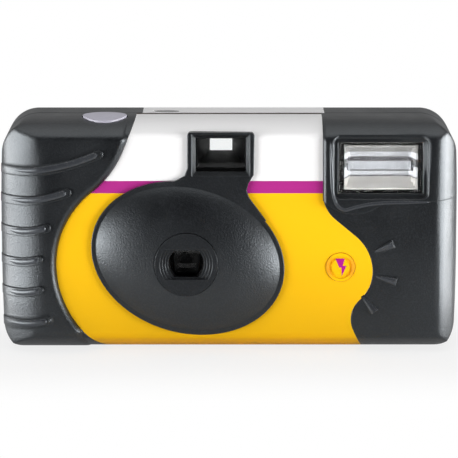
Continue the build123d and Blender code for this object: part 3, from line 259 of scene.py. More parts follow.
class Edge(Effect):
    """Softened edges: a rounded normal and a mask that is light along each edge."""

    name = "soft_edge"
    inputs = {"Radius": 0.2 * MM}
    outputs = {"Mask": FLOAT, "Normal": "NodeSocketVector"}
    samples = 6
    patches = 700.0

    @classmethod
    def wire(cls, graph: Graph, given: Any) -> dict[str, Socket]:
        """Fills the group.

        Args:
            graph: The group's tree.
            given: The edge's radius.

        Returns:
            The mask and the rounded normal.
        """
        rounded = graph.add("ShaderNodeBevel", {"Radius": given["Radius"]}, samples=cls.samples).outputs[0]
        plain = graph.add("ShaderNodeNewGeometry").outputs["Normal"]
        match = graph.add("ShaderNodeVectorMath", {0: rounded, 1: plain}, operation="DOT_PRODUCT")
        turned = graph.remap(graph.minus(1.0, match.outputs["Value"]), 0.01, 0.2)
        patchy = graph.remap(graph.noise(cls.patches, 3.0), 0.35, 0.65)
        return {"Mask": graph.times(turned, patchy), "Normal": rounded}


class Dust(Effect):
    """Light handling marks: thin dust that lies on faces that look up, and faint smears; laid thick and pale,
    the dust paints a sheen on faces that look up.
    """

    name = "handling_and_sheen"
    inputs = {"Amount": 0.3}
    outputs = {"Mask": FLOAT, "Smear": FLOAT}
    specks, smears = 2600.0, 60.0
    on_walls = 0.15

    @classmethod
    def wire(cls, graph: Graph, given: Any) -> dict[str, Socket]:
        """Fills the group.

        Args:
            graph: The group's tree.
            given: The amount of dust and painted sheen.

        Returns:
            The mask of the dust and painted sheen, and the smears.
        """
        normal = graph.add("ShaderNodeNewGeometry").outputs["Normal"]
        level = graph.add("ShaderNodeSeparateXYZ", {0: normal}).outputs[Axis.UP.value]
        lying = graph.remap(level, 0.2, 1.0, cls.on_walls, 1.0)
        laid = graph.times(graph.remap(graph.noise(cls.specks, 4.0), 0.5, 0.75), lying)
        smear = graph.noise(cls.smears, 3.0, Distortion=0.6)
        return {"Mask": graph.times(laid, given["Amount"], clamp=True),
                "Smear": graph.remap(smear, 0.4, 0.7)}


class Brush(Effect):
    """Fine lines of rolled or drawn metal."""

    name = "drawn_lines"
    inputs = {"Length": 20 * MM, "Width": 0.1 * MM}
    outputs = {"Line": FLOAT}

    @classmethod
    def wire(cls, graph: Graph, given: Any) -> dict[str, Socket]:
        """Fills the group.

        Args:
            graph: The group's tree.
            given: The lines' length and width.

        Returns:
            The lines.
        """
        fine, slow = (graph.math("DIVIDE", 1.0, given[name]) for name in ("Width", "Length"))
        scale = graph.add("ShaderNodeCombineXYZ", {0: slow, 1: fine, 2: fine}).outputs[0]
        point = graph.add("ShaderNodeVectorMath", {0: graph.place(), 1: scale}, operation="MULTIPLY")
        return {"Line": graph.noise(1.0, 4.0, point.outputs[0])}


@dataclass(frozen=True)
class Finish:
    """A surface finish, made into a material once."""

    name: str
    colour: Colour = (0.8, 0.8, 0.8)
    roughness: float = 0.5
    edge: float = 0.2 * MM
    wear: float = 0.3
    worn: Colour = (0.6, 0.58, 0.55)
    smear: float = 0.04
    relief: float = 0.02 * MM

    def material(self) -> bpy.types.Material:
        """Gives the finish's material, which the first call makes.

        Returns:
            The material.
        """
        title = f"finish_{self.name}"
        found = bpy.data.materials.get(title)
        if found:
            return found
        made = bpy.data.materials.new(title)
        made.use_nodes = True
        made.node_tree.nodes.clear()
        graph = Graph(made.node_tree)
        graph.add("ShaderNodeOutputMaterial", {"Surface": self.shader(graph)})
        return made

    def shader(self, graph: Graph) -> Socket:
        """Wires the finish in the material's tree and gives the shader's socket."""
        raise NotImplementedError

    def softened(self, graph: Graph, ink: Any, worn: Colour, radius: Any) -> tuple[Socket, Socket]:
        """Gives the ink with a worn colour along its edges, and a normal that is rounded there."""
        edge = Edge.put(graph, Radius=radius)
        return graph.mix(graph.times(edge["Mask"], self.wear), ink, worn), edge["Normal"]

    def smeared(self, graph: Graph) -> Socket:
        """Gives the roughness with what faint smears add to it."""
        return graph.plus(graph.times(Dust.put(graph)["Smear"], self.smear), self.roughness)


@dataclass(frozen=True)
class Moulded(Finish):
    """Moulded plastic with its mould texture, soft edges and a little dust, with a painted sparkle on the
    grain's peaks and, where the dust is laid thick, a painted sheen on faces that look up.
    """

    edge: float = 0.25 * MM
    wear: float = 0.15
    grain: float = 0.28 * MM
    depth: float = 0.03 * MM
    mottle: float = 0.06
    dust: float = 0.12
    dust_colour: Colour = (0.35, 0.34, 0.32)
    specular: float = 0.5
    tint: Colour = (1.0, 1.0, 1.0)
    hollow_share: float = 0.88
    edge_gain: float = 1.5
    edge_lift: float = 0.012
    fleck: float = 0.0
    fleck_low: float = 0.42
    fleck_high: float = 0.66
    fleck_colour: Colour = (0.03, 0.033, 0.038)
    corner: float = 0.0
    corner_x: float = 46 * MM
    corner_z: float = 20 * MM
    corner_run: float = 5 * MM
    middle_z: float = 30 * MM

    def rounding(self, graph: Graph) -> Any:
        """Gives the edge radius, wider at the body's four corners where a finish has that.

        Args:
            graph: The material's tree.

        Returns:
            A plain radius, or a socket where it changes.
        """
        if not self.corner:
            return self.edge
        out = graph.size(graph.along(Axis.ACROSS))
        up = graph.size(graph.minus(graph.along(Axis.UP), self.middle_z))
        near = graph.times(graph.remap(out, self.corner_x - self.corner_run, self.corner_x),
                           graph.remap(up, self.corner_z - self.corner_run, self.corner_z))
        return graph.plus(graph.times(near, self.corner - self.edge), self.edge)

    def shader(self, graph: Graph) -> Socket:
        """Wires the plastic.

        Args:
            graph: The material's tree.

        Returns:
            The shader's socket.
        """
        grain = Grain.put(graph, Size=self.grain)
        dust = Dust.put(graph, Amount=self.dust)
        lighter = tuple(min(1.0, part * self.edge_gain + self.edge_lift) for part in self.colour)
        darker = tuple(part * self.hollow_share for part in self.colour)
        body = graph.mix(grain["Mottle"], darker, self.colour)
        # painted sparkle: the mould grain's peaks are painted lighter, where its relief catches light
        if self.fleck:
            sparkle_peaks = graph.remap(grain["Height"], self.fleck_low, self.fleck_high, 0.0, self.fleck)
            body = graph.mix(sparkle_peaks, body, self.fleck_colour)
        body, normal = self.softened(graph, body, lighter, self.rounding(graph))
        # dust on faces that look up, which also paints a sheen where a finish lays it thick and pale
        body = graph.mix(dust["Mask"], body, self.dust_colour)
        rough = graph.plus(graph.times(grain["Mottle"], self.mottle), self.roughness - self.mottle / 2)
        rough = graph.plus(rough, graph.times(dust["Smear"], self.smear))
        return graph.skin(body, rough, graph.bump(grain["Height"], self.depth, normal=normal),
                          Specular_IOR_Level=self.specular, Specular_Tint=self.tint)


@dataclass(frozen=True)
class Printed(Finish):
    """Coated label film: white above a rule, one flat colour below it, and a painted shadow along the seam of
    the covers.
    """

    edge: float = 0.12 * MM
    wear: float = 0.35
    worn: Colour = (0.75, 0.72, 0.66)
    smear: float = 0.06
    upper: Colour = (0.9, 0.9, 0.9)
    rule: Colour = (0.4, 0.03, 0.25)
    rule_low: float = 41.5 * MM
    rule_high: float = 44.7 * MM
    blur: float = 0.03 * MM
    seam: float = 3.5 * MM
    seam_line: float = 2.2 * MM
    seam_ink: Colour = (0.035, 0.02, 0.012)
    dots: float = 5200.0
    dot_share: float = 0.03
    dot_ink: Colour = (0.62, 0.42, 0.2)
    tooth: float = 1500.0
    tooth_share: float = 0.2
    waves: float = 90.0
    specular: float = 0.12

    def shader(self, graph: Graph) -> Socket:
        """Wires the print and the film's tooth.

        Args:
            graph: The material's tree.

        Returns:
            The shader's socket.
        """
        height = graph.along(Axis.UP)
        over, above = (graph.remap(height, level - self.blur, level + self.blur)
                       for level in (self.rule_low, self.rule_high))
        ink = graph.mix(above, graph.mix(over, self.colour, self.rule), self.upper)
        # painted shadow: a dark band on the film along the seam stands for the shade in the gap between the
        # covers
        deep, start = graph.along(Axis.DEEP), self.seam - self.seam_line
        seam_shadow = graph.times(graph.remap(deep, start, start + 2 * self.blur),
                          graph.remap(deep, self.seam + 2 * self.blur, self.seam + self.blur))
        ink = graph.mix(seam_shadow, ink, self.seam_ink)
        ink = graph.mix(graph.remap(graph.cells(self.dots), 0.1, 0.6, 0.0, self.dot_share), ink, self.dot_ink)
        ink, normal = self.softened(graph, ink, self.worn, self.edge)
        tooth = graph.times(graph.noise(self.tooth, 3.0), self.tooth_share)
        bump = graph.bump(graph.plus(tooth, graph.noise(self.waves, 1.0)), self.relief, 0.5, normal)
        return graph.skin(ink, self.smeared(graph), bump, Specular_IOR_Level=self.specular)


@dataclass(frozen=True)
class Dished(Finish):
    """Moulded button with painted shade: two darker crescents, left and right, at the border of its dished
    face.
    """

    wear: float = 0.25
    worn: Colour = (0.9, 0.5, 0.05)
    relief: float = 0.008 * MM
    shade: Colour = (0.9, 0.3, 0.03)
    shade_share: float = 0.62
    middle_x: float = 28.6 * MM
    middle_z: float = 22.3 * MM
    inner: float = 2.5 * MM
    outer: float = 3.25 * MM
    rim: float = 3.7 * MM
    grain: float = 0.4 * MM
    mottle: float = 0.05
    specular: float = 0.15

    def shader(self, graph: Graph) -> Socket:
        """Wires the button.

        Args:
            graph: The material's tree.

        Returns:
            The shader's socket.
        """
        across = graph.minus(graph.along(Axis.ACROSS), self.middle_x)
        up = graph.minus(graph.along(Axis.UP), self.middle_z)
        far = graph.math("SQRT", graph.plus(graph.times(across, across), graph.times(up, up)))
        sideways = graph.math("DIVIDE", graph.size(across), graph.most(far, 0.1 * MM))
        # painted shade: darker crescents at the left and right border of the dished face
        shade_crescents = graph.times(graph.remap(far, self.inner, self.outer), graph.remap(sideways, 0.45, 0.95))
        shade_crescents = graph.times(shade_crescents, graph.remap(far, self.rim + 0.2 * MM, self.rim - 0.3 * MM, 0.35, 1.0))
        ink = graph.mix(graph.times(shade_crescents, self.shade_share), self.colour, self.shade)
        ink, normal = self.softened(graph, ink, self.worn, self.edge)
        grain = Grain.put(graph, Size=self.grain)
        rough = graph.plus(graph.times(grain["Mottle"], self.mottle), self.roughness)
        bump = graph.bump(grain["Height"], self.relief, normal=normal)
        return graph.skin(ink, rough, bump, Specular_IOR_Level=self.specular)


@dataclass(frozen=True)
class Clear(Finish):
    """Clear moulded plastic or glass, with flutes across it where it scatters light."""

    roughness: float = 0.04
    smear: float = 0.03
    relief: float = 0.004 * MM
    swirls: float = 220.0
    swirl_share: float = 0.25
    flute: float = 0.0
    flute_depth: float = 0.05 * MM
    index: float = 1.3

    def shader(self, graph: Graph) -> Socket:
        """Wires the clear body, which lets the light through to what lies behind.

        Args:
            graph: The material's tree.

        Returns:
            The shader's socket.
        """
        height, depth = graph.times(graph.noise(self.swirls, 1.0), self.swirl_share), self.relief
        if self.flute:
            turns = graph.times(graph.along(Axis.ACROSS), 2 * math.pi / self.flute)
            height, depth = graph.plus(height, graph.math("SINE", turns)), self.flute_depth
        body = graph.skin(self.colour, self.smeared(graph), graph.bump(height, depth), IOR=self.index,
                          Transmission_Weight=1.0)
        open_way = graph.add("ShaderNodeBsdfTransparent", {"Color": self.colour}).outputs[0]
        shadow = graph.add("ShaderNodeLightPath").outputs["Is Shadow Ray"]
        return graph.add("ShaderNodeMixShader", {0: shadow, 1: body, 2: open_way}).outputs[0]


@dataclass(frozen=True)
class Metal(Finish):
    """Rolled or drawn metal with lines along it and slight tarnish."""

    edge: float = 0.08 * MM
    relief: float = 0.01 * MM
    line_length: float = 20 * MM
    line_width: float = 0.12 * MM
    line_rough: float = 0.16
    tarnish: float = 0.15
    tarnish_tint: Colour = (0.72, 0.66, 0.58)

    def shader(self, graph: Graph) -> Socket:
        """Wires the metal.

        Args:
            graph: The material's tree.

        Returns:
            The shader's socket.
        """
        lines = Brush.put(graph, Length=self.line_length, Width=self.line_width)["Line"]
        dull = tuple(part * shade for part, shade in zip(self.colour, self.tarnish_tint))
        face = graph.mix(graph.times(Dust.put(graph)["Smear"], self.tarnish), self.colour, dull)
        rough = graph.plus(graph.times(lines, self.line_rough), self.roughness)
        bump = graph.bump(lines, self.relief, 0.35, Edge.put(graph, Radius=self.edge)["Normal"])
        return graph.skin(face, rough, bump, Metallic=1.0)


@dataclass(frozen=True)
class Banded(Finish):
    """Bright trough with painted reflections: level bands of painted highlight and painted shade, from its
    top down, stand for its facets and the tube that it mirrors.
    """

    low: float = 42.3 * MM
    high: float = 53.7 * MM
    dull: Colour = (0.36, 0.35, 0.33)
    lit: Colour = (0.90, 0.90, 0.92)
    warm: Colour = (0.74, 0.71, 0.66)
    line: Colour = (0.08, 0.07, 0.07)
    tube: Colour = (0.15, 0.145, 0.15)
    upper_facet: float = 0.20
    upper_line: float = 0.33
    tube_end: float = 0.50
    lower_line: float = 0.74
    soft: float = 0.02
    line_share: float = 0.85
    waver: float = 0.035
    waver_scale: Point = (160.0, 160.0, 900.0)
    speck_share: float = 0.35
    speck_scale: Point = (5200.0, 900.0, 300.0)
    metallic: float = 0.2

    def shader(self, graph: Graph) -> Socket:
        """Wires the trough.

        Args:
            graph: The material's tree.

        Returns:
            The shader's socket.
        """
        down = graph.add("ShaderNodeMapRange", {"Value": graph.along(Axis.UP), "From Min": self.high,
                                                "From Max": self.low}).outputs["Result"]
        waver = graph.noise(1.0, 2.0, graph.stretched(*self.waver_scale))
        place = graph.plus(down, graph.times(graph.minus(waver, 0.5), self.waver))
        soft, face = self.soft, self.dull
        # the lit and warm bands are painted highlights, and the dark tube band is a painted image of the tube
        # in the trough
        for start, end, colour in ((self.upper_facet - soft, self.upper_facet, self.lit),
                                   (self.upper_line, self.upper_line + soft, self.tube),
                                   (self.tube_end - soft, self.tube_end + soft, self.lit),
                                   (self.lower_line, self.lower_line + soft, self.warm)):
            face = graph.mix(graph.remap(place, start, end), face, colour)
        # thin dark lines at the band edges are painted shade between the facets
        for level in (self.upper_line, self.tube_end - 2 * soft, self.lower_line):
            far = graph.size(graph.minus(place, level))
            face = graph.mix(graph.remap(far, soft, soft / 2, 0.0, self.line_share), face, self.line)
        # dark specks take the colour of the painted tube band
        specks = graph.noise(1.0, 3.0, graph.stretched(*self.speck_scale))
        face = graph.mix(graph.remap(specks, 0.5, 0.8, 0.0, self.speck_share), face, self.tube)
        return graph.skin(face, self.roughness, graph.bump(waver, self.relief, 0.4), Metallic=self.metallic)


@dataclass(frozen=True)
class Sleeve(Finish):
    """Thin coloured sleeve or tin print with one band along an axis."""

    edge: float = 0.15 * MM
    smear: float = 0.08
    relief: float = 0.03 * MM
    wrinkles: float = 350.0
    band: Colour = (0.8, 0.8, 0.8)
    axis: Axis = Axis.UP
    start: float = 0.0
    end: float = 0.0
    soft: float = 0.05 * MM
    metallic: float = 0.0

    def shader(self, graph: Graph) -> Socket:
        """Wires the sleeve.

        Args:
            graph: The material's tree.

        Returns:
            The shader's socket.
        """
        far, soft = graph.along(self.axis), self.soft
        inside = graph.times(graph.remap(far, self.start - soft, self.start + soft),
                             graph.remap(far, self.end + soft, self.end - soft))
        ink, normal = self.softened(graph, graph.mix(inside, self.colour, self.band), self.worn, self.edge)
        bump = graph.bump(graph.noise(self.wrinkles, 2.0), self.relief, 0.4, normal)
        return graph.skin(ink, self.smeared(graph), bump, Metallic=self.metallic)


@dataclass(frozen=True)
class Wound(Finish):
    """Turns of thin wire or film seen from outside, under a clear lacquer, with painted shade in the gaps
    between them.
    """

    pitch: float = 0.25 * MM
    axis: Axis = Axis.UP
    gap_share: float = 0.35
    waves: float = 500.0
    wave_share: float = 0.5
    lacquer: float = 0.3

    def shader(self, graph: Graph) -> Socket:
        """Wires the winding.

        Args:
            graph: The material's tree.

        Returns:
            The shader's socket.
        """
        turns = graph.math("SINE", graph.times(graph.along(self.axis), 2 * math.pi / self.pitch))
        height = graph.plus(turns, graph.times(graph.noise(self.waves, 2.0), self.wave_share))
        # painted shade: the gaps between the turns are darker
        dark = tuple(part * self.gap_share for part in self.colour)
        face = graph.mix(graph.remap(turns, -1.0, 0.6), dark, self.colour)
        bump = graph.bump(height, self.pitch / 4, 0.8)
        return graph.skin(face, self.roughness, bump, Coat_Weight=self.lacquer)


@dataclass(frozen=True)
class Laminate(Finish):
    """Brown paper laminate with its fibres and tinned tracks."""

    relief: float = 0.05 * MM
    track: Colour = (0.45, 0.3, 0.12)
    cell: float = 4.2 * MM
    fibre_share: float = 0.7
    fibre_height: float = 0.2
    fibre_scale: Point = (900.0, 900.0, 5000.0)

    def shader(self, graph: Graph) -> Socket:
        """Wires the board.

        Args:
            graph: The material's tree.

        Returns:
            The shader's socket.
        """
        tracks = graph.remap(graph.cells(1 / self.cell, distance="CHEBYCHEV"), 0.36, 0.4)
        fibre = graph.noise(1.0, 3.0, graph.stretched(*self.fibre_scale))
        dark = tuple(part * self.fibre_share for part in self.colour)
        face = graph.mix(tracks, graph.mix(graph.remap(fibre, 0.3, 0.7), self.colour, dark), self.track)
        bump = graph.bump(graph.plus(tracks, graph.times(fibre, self.fibre_height)), self.relief, 0.7)
        return graph.skin(face, self.roughness, bump)


@dataclass(frozen=True)
class Ground(Finish):
    """Pale floor that turns white to the camera away from the object and keeps its shadow."""

    marks: float = 40.0
    mark_share: float = 0.985
    glow: float = 0.8
    mirrored_glow: float = 0.3
    half_width: float = 59 * MM
    half_depth: float = 18 * MM
    fade_start: float = 8 * MM
    fade_end: float = 55 * MM

    def shader(self, graph: Graph) -> Socket:
        """Wires the floor.

        Args:
            graph: The material's tree.

        Returns:
            The shader's socket.
        """
        shade = tuple(part * self.mark_share for part in self.colour)
        tint = graph.mix(graph.noise(self.marks, 2.0), self.colour, shade)
        matt = graph.add("ShaderNodeBsdfDiffuse", {"Color": tint}).outputs[0]
        white = graph.add("ShaderNodeEmission", {"Color": (1.0, 1.0, 1.0), "Strength": 1.0}).outputs[0]
        out_x = graph.minus(graph.size(graph.along(Axis.ACROSS)), self.half_width)
        out_y = graph.minus(graph.size(graph.along(Axis.DEEP)), self.half_depth)
        away = graph.remap(graph.most(out_x, out_y), self.fade_start, self.fade_end, self.glow, 1.0)
        seen = graph.add("ShaderNodeLightPath").outputs
        straight = graph.most(seen["Is Camera Ray"], seen["Is Transmission Ray"])
        mirrored = graph.times(seen["Is Glossy Ray"], self.mirrored_glow)
        direct = graph.most(graph.times(straight, away), mirrored)
        return graph.add("ShaderNodeMixShader", {0: direct, 1: matt, 2: white}).outputs[0]


COOL = (0.88, 0.95, 1.0)
COVER = Moulded("cover_black", srgb(9, 10, 13), 0.34, grain=0.36 * MM, depth=0.08 * MM, edge=0.4 * MM,
                wear=0.2, dust=0.02, specular=0.78, fleck=0.28, tint=COOL, corner=1.5 * MM)
# The crests wear a lighter copy of the cover's black plastic; with thick pale dust and strong edge wear it
# paints a sheen on their upper sides and edges.
RIDGE_PAINTED_SHEEN = Moulded("ridge_black_painted_sheen", srgb(44, 46, 51), 0.34, grain=0.3 * MM, edge=0.2 * MM, wear=0.4, dust=0.55,
                specular=0.8, tint=COOL)
LABEL = Printed("label_print", srgb(255, 197, 9), 0.42, upper=srgb(250, 250, 251), rule=srgb(178, 38, 138))
BUTTON_YELLOW = Dished("flash_button_yellow", srgb(255, 197, 9), 0.4)
BUTTON_GREY = Moulded("shutter_button_grey", srgb(202, 200, 214), 0.38, grain=0.3 * MM, depth=0.01 * MM,
                      dust=0.03)
RING = Moulded("lens_ring_black", srgb(12, 13, 16), 0.36, grain=0.36 * MM, depth=0.05 * MM, wear=0.5,
               dust=0.03, specular=0.6, fleck=0.3, tint=COOL)
INNER = Moulded("inner_black", srgb(15, 15, 16), 0.5, grain=0.5 * MM, dust=0.01, specular=0.2)
TUNNEL = Moulded("tunnel_black", srgb(7, 7, 8), 0.6, grain=0.5 * MM, dust=0.0, specular=0.1)
NATURAL = Moulded("natural_white", srgb(222, 220, 208), 0.42, grain=0.6 * MM, depth=0.01 * MM, dust=0.05)
DIAL = Moulded("dial_white", srgb(240, 240, 236), 0.35, grain=0.5 * MM, depth=0.008 * MM, dust=0.03)
INK_PURPLE = Moulded("ink_purple", srgb(186, 32, 150), 0.4, grain=0.4 * MM, depth=0.004 * MM, dust=0.0,
                     specular=0.15)
INK_BLACK = Moulded("ink_black", srgb(24, 24, 26), 0.4, grain=0.4 * MM, depth=0.004 * MM, dust=0.0)
CLEAR = Clear("clear_plastic", (0.97, 0.98, 0.98))
FLUTED = Clear("flash_window_clear", (0.96, 0.97, 0.98), 0.06, flute=0.62 * MM, flute_depth=0.03 * MM)
GLASS = Clear("tube_glass", (0.95, 0.96, 0.97), 0.03, index=1.45)
NEON = Clear("neon_lamp_glass", (0.95, 0.55, 0.32), 0.08)
STEEL = Metal("sheet_steel", (0.6, 0.6, 0.61), 0.28)
BLACK_STEEL = Metal("blackened_steel", (0.05, 0.05, 0.055), 0.4)
REFLECTOR_PAINTED = Banded("reflector_painted_bands", roughness=0.22)
FILM = Sleeve("film_base", srgb(74, 44, 30), 0.22, band=srgb(92, 60, 44), start=12.5 * MM, end=36.8 * MM)
TAPE = Sleeve("coil_tape", srgb(214, 178, 66), 0.35, band=srgb(196, 150, 48), start=38 * MM, end=40 * MM)
CARTRIDGE = Sleeve("cartridge_print", srgb(236, 186, 24), 0.3, band=srgb(34, 34, 36), start=4 * MM,
                   end=14 * MM, metallic=0.2)
CELL = Sleeve("cell_wrap", srgb(62, 64, 70), 0.28, band=srgb(190, 140, 60), axis=Axis.ACROSS, start=2 * MM,
              end=16 * MM, metallic=0.3)
CAPACITOR = Sleeve("capacitor_sleeve", srgb(26, 30, 58), 0.3, band=srgb(150, 152, 158), start=8 * MM,
                   end=9 * MM)
ROLL = Wound("film_roll", srgb(70, 44, 32), 0.3, pitch=0.9 * MM)
WIRE = Wound("wire_turns", srgb(176, 96, 40), 0.32, pitch=0.35 * MM)
BOARD = Laminate("board_laminate", srgb(150, 116, 62), 0.5)
FLOOR = Ground("floor_pale", (0.92, 0.92, 0.92))


class Smooth(Effect):
    """Geometry group that smooths a mesh and keeps its sharp edges."""

    kind = "GeometryNodeTree"
    name = "smooth_below_angle"
    inputs = {"Geometry": None, "Angle": math.radians(28)}
    outputs = {"Geometry": GEOMETRY}

    @classmethod
    def wire(cls, graph: Graph, given: Any) -> dict[str, Socket]:
        """Fills the group.

        Args:
            graph: The group's tree.
            given: The mesh, and the angle from which an edge is sharp.

        Returns:
            The shaded mesh.
        """
        inputs = {"Geometry": given["Geometry"], "Name": "custom_normal"}
        bare = graph.add("GeometryNodeRemoveAttribute", inputs)
        smooth = graph.add("GeometryNodeSetShadeSmooth", {"Geometry": bare.outputs[0], "Shade Smooth": True})
        angle = graph.add("GeometryNodeInputMeshEdgeAngle").outputs["Unsigned Angle"]
        sharp = graph.add("FunctionNodeCompare", {0: angle, 1: given["Angle"]}, operation="GREATER_THAN")
        inputs = {"Geometry": smooth.outputs[0], "Selection": sharp.outputs[0], "Shade Smooth": False}
        return {"Geometry": graph.add("GeometryNodeSetShadeSmooth", inputs, domain="EDGE").outputs[0]}


class Maker:
    """Makes the small mesh pieces, and shades them and the CAD nodes."""

    weld = 0.0005 * MM

    @classmethod
    def care(cls, node: bpy.types.Object) -> None:
        """Gives an object clean shading by modifiers, which leave its mesh as it is."""
        node.modifiers.new("weld", "WELD").merge_threshold = cls.weld
        node.modifiers.new("shade", "NODES").node_group = Smooth.tree()

    @staticmethod
    def plate(name: str, outline: list[tuple[float, float]], front: float, back: float) -> bpy.types.Object:
        """Makes a flat plate that faces the front.

        Args:
            name: The piece's name.
            outline: Its corners across and up, in metres.
            front: Depth of its front face.
            back: Depth of its back face.

        Returns:
            The piece.
        """
        bm = bmesh.new()
        near = [bm.verts.new((x, front, z)) for x, z in outline]
        far = [bm.verts.new((x, back, z)) for x, z in outline]
        bm.faces.new(near)
        bm.faces.new(list(reversed(far)))
        for index in range(-len(outline), 0):
            bm.faces.new((near[index], far[index], far[index + 1], near[index + 1]))
        return Maker.finish(name, bm)

    @staticmethod
    def numeral(name: str, text: str, height: float, thickness: float, place: Matrix) -> bpy.types.Object:
        """Makes a printed number as a thin plate.

        Args:
            name: The piece's name.
            text: The number.
            height: Height of its figures.
            thickness: Thickness of the ink.
            place: Where it lies.

        Returns:
            The piece.
        """
        words = bpy.data.curves.new(name + "_text", "FONT")
        words.body = text
        words.size = height
        words.extrude = thickness / 2
        words.align_x = words.align_y = "CENTER"
        holder = bpy.data.objects.new(name + "_text", words)
        bpy.context.scene.collection.objects.link(holder)
        mesh = bpy.data.meshes.new_from_object(holder.evaluated_get(bpy.context.evaluated_depsgraph_get()))
        bpy.data.objects.remove(holder)
        bm = bmesh.new()
        bm.from_mesh(mesh)
        bm.transform(place)
        bpy.data.meshes.remove(mesh)
        return Maker.finish(name, bm)

    @staticmethod
    def finish(name: str, bm: bmesh.types.BMesh) -> bpy.types.Object:
        """Turns a mesh under construction into an object with clean normals.

        Args:
            name: The piece's name.
            bm: The mesh.

        Returns:
            The object.
        """
        bmesh.ops.remove_doubles(bm, verts=bm.verts, dist=Maker.weld)
        bmesh.ops.recalc_face_normals(bm, faces=bm.faces)
        mesh = bpy.data.meshes.new(name)
        bm.to_mesh(mesh)
        bm.free()
        made = bpy.data.objects.new(name, mesh)
        bpy.context.scene.collection.objects.link(made)
        Maker.care(made)
        return made


@dataclass
class Assembly:
    """Part of the camera: its CAD nodes with their finishes, and the pieces added to it."""

    frame: dict[str, Any]
    finishes: ClassVar[dict[str, Finish]] = {}

    def dress(self) -> None:
        """Gives each CAD node its finish and its shading."""
        for name, finish in self.finishes.items():
            node = self.frame["nodes"][name]
            node.data.materials.clear()
            node.data.materials.append(finish.material())
            Maker.care(node)
            log.info("%s wears %s", name, finish.name)

    def build(self) -> None:
        """Builds the pieces that the CAD nodes don't show."""

    def keep(self, piece: bpy.types.Object, body: str, finish: Finish, slot: str) -> None:
        """Finishes a new piece and ties it to its body.

        Args:
            piece: The piece.
            body: The CAD body it moves with.
            finish: Its finish.
            slot: The record's material slot; not used.
        """
        piece.data.materials.append(finish.material())
        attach(piece, body)
        log.info("%s made for %s", piece.name, body)


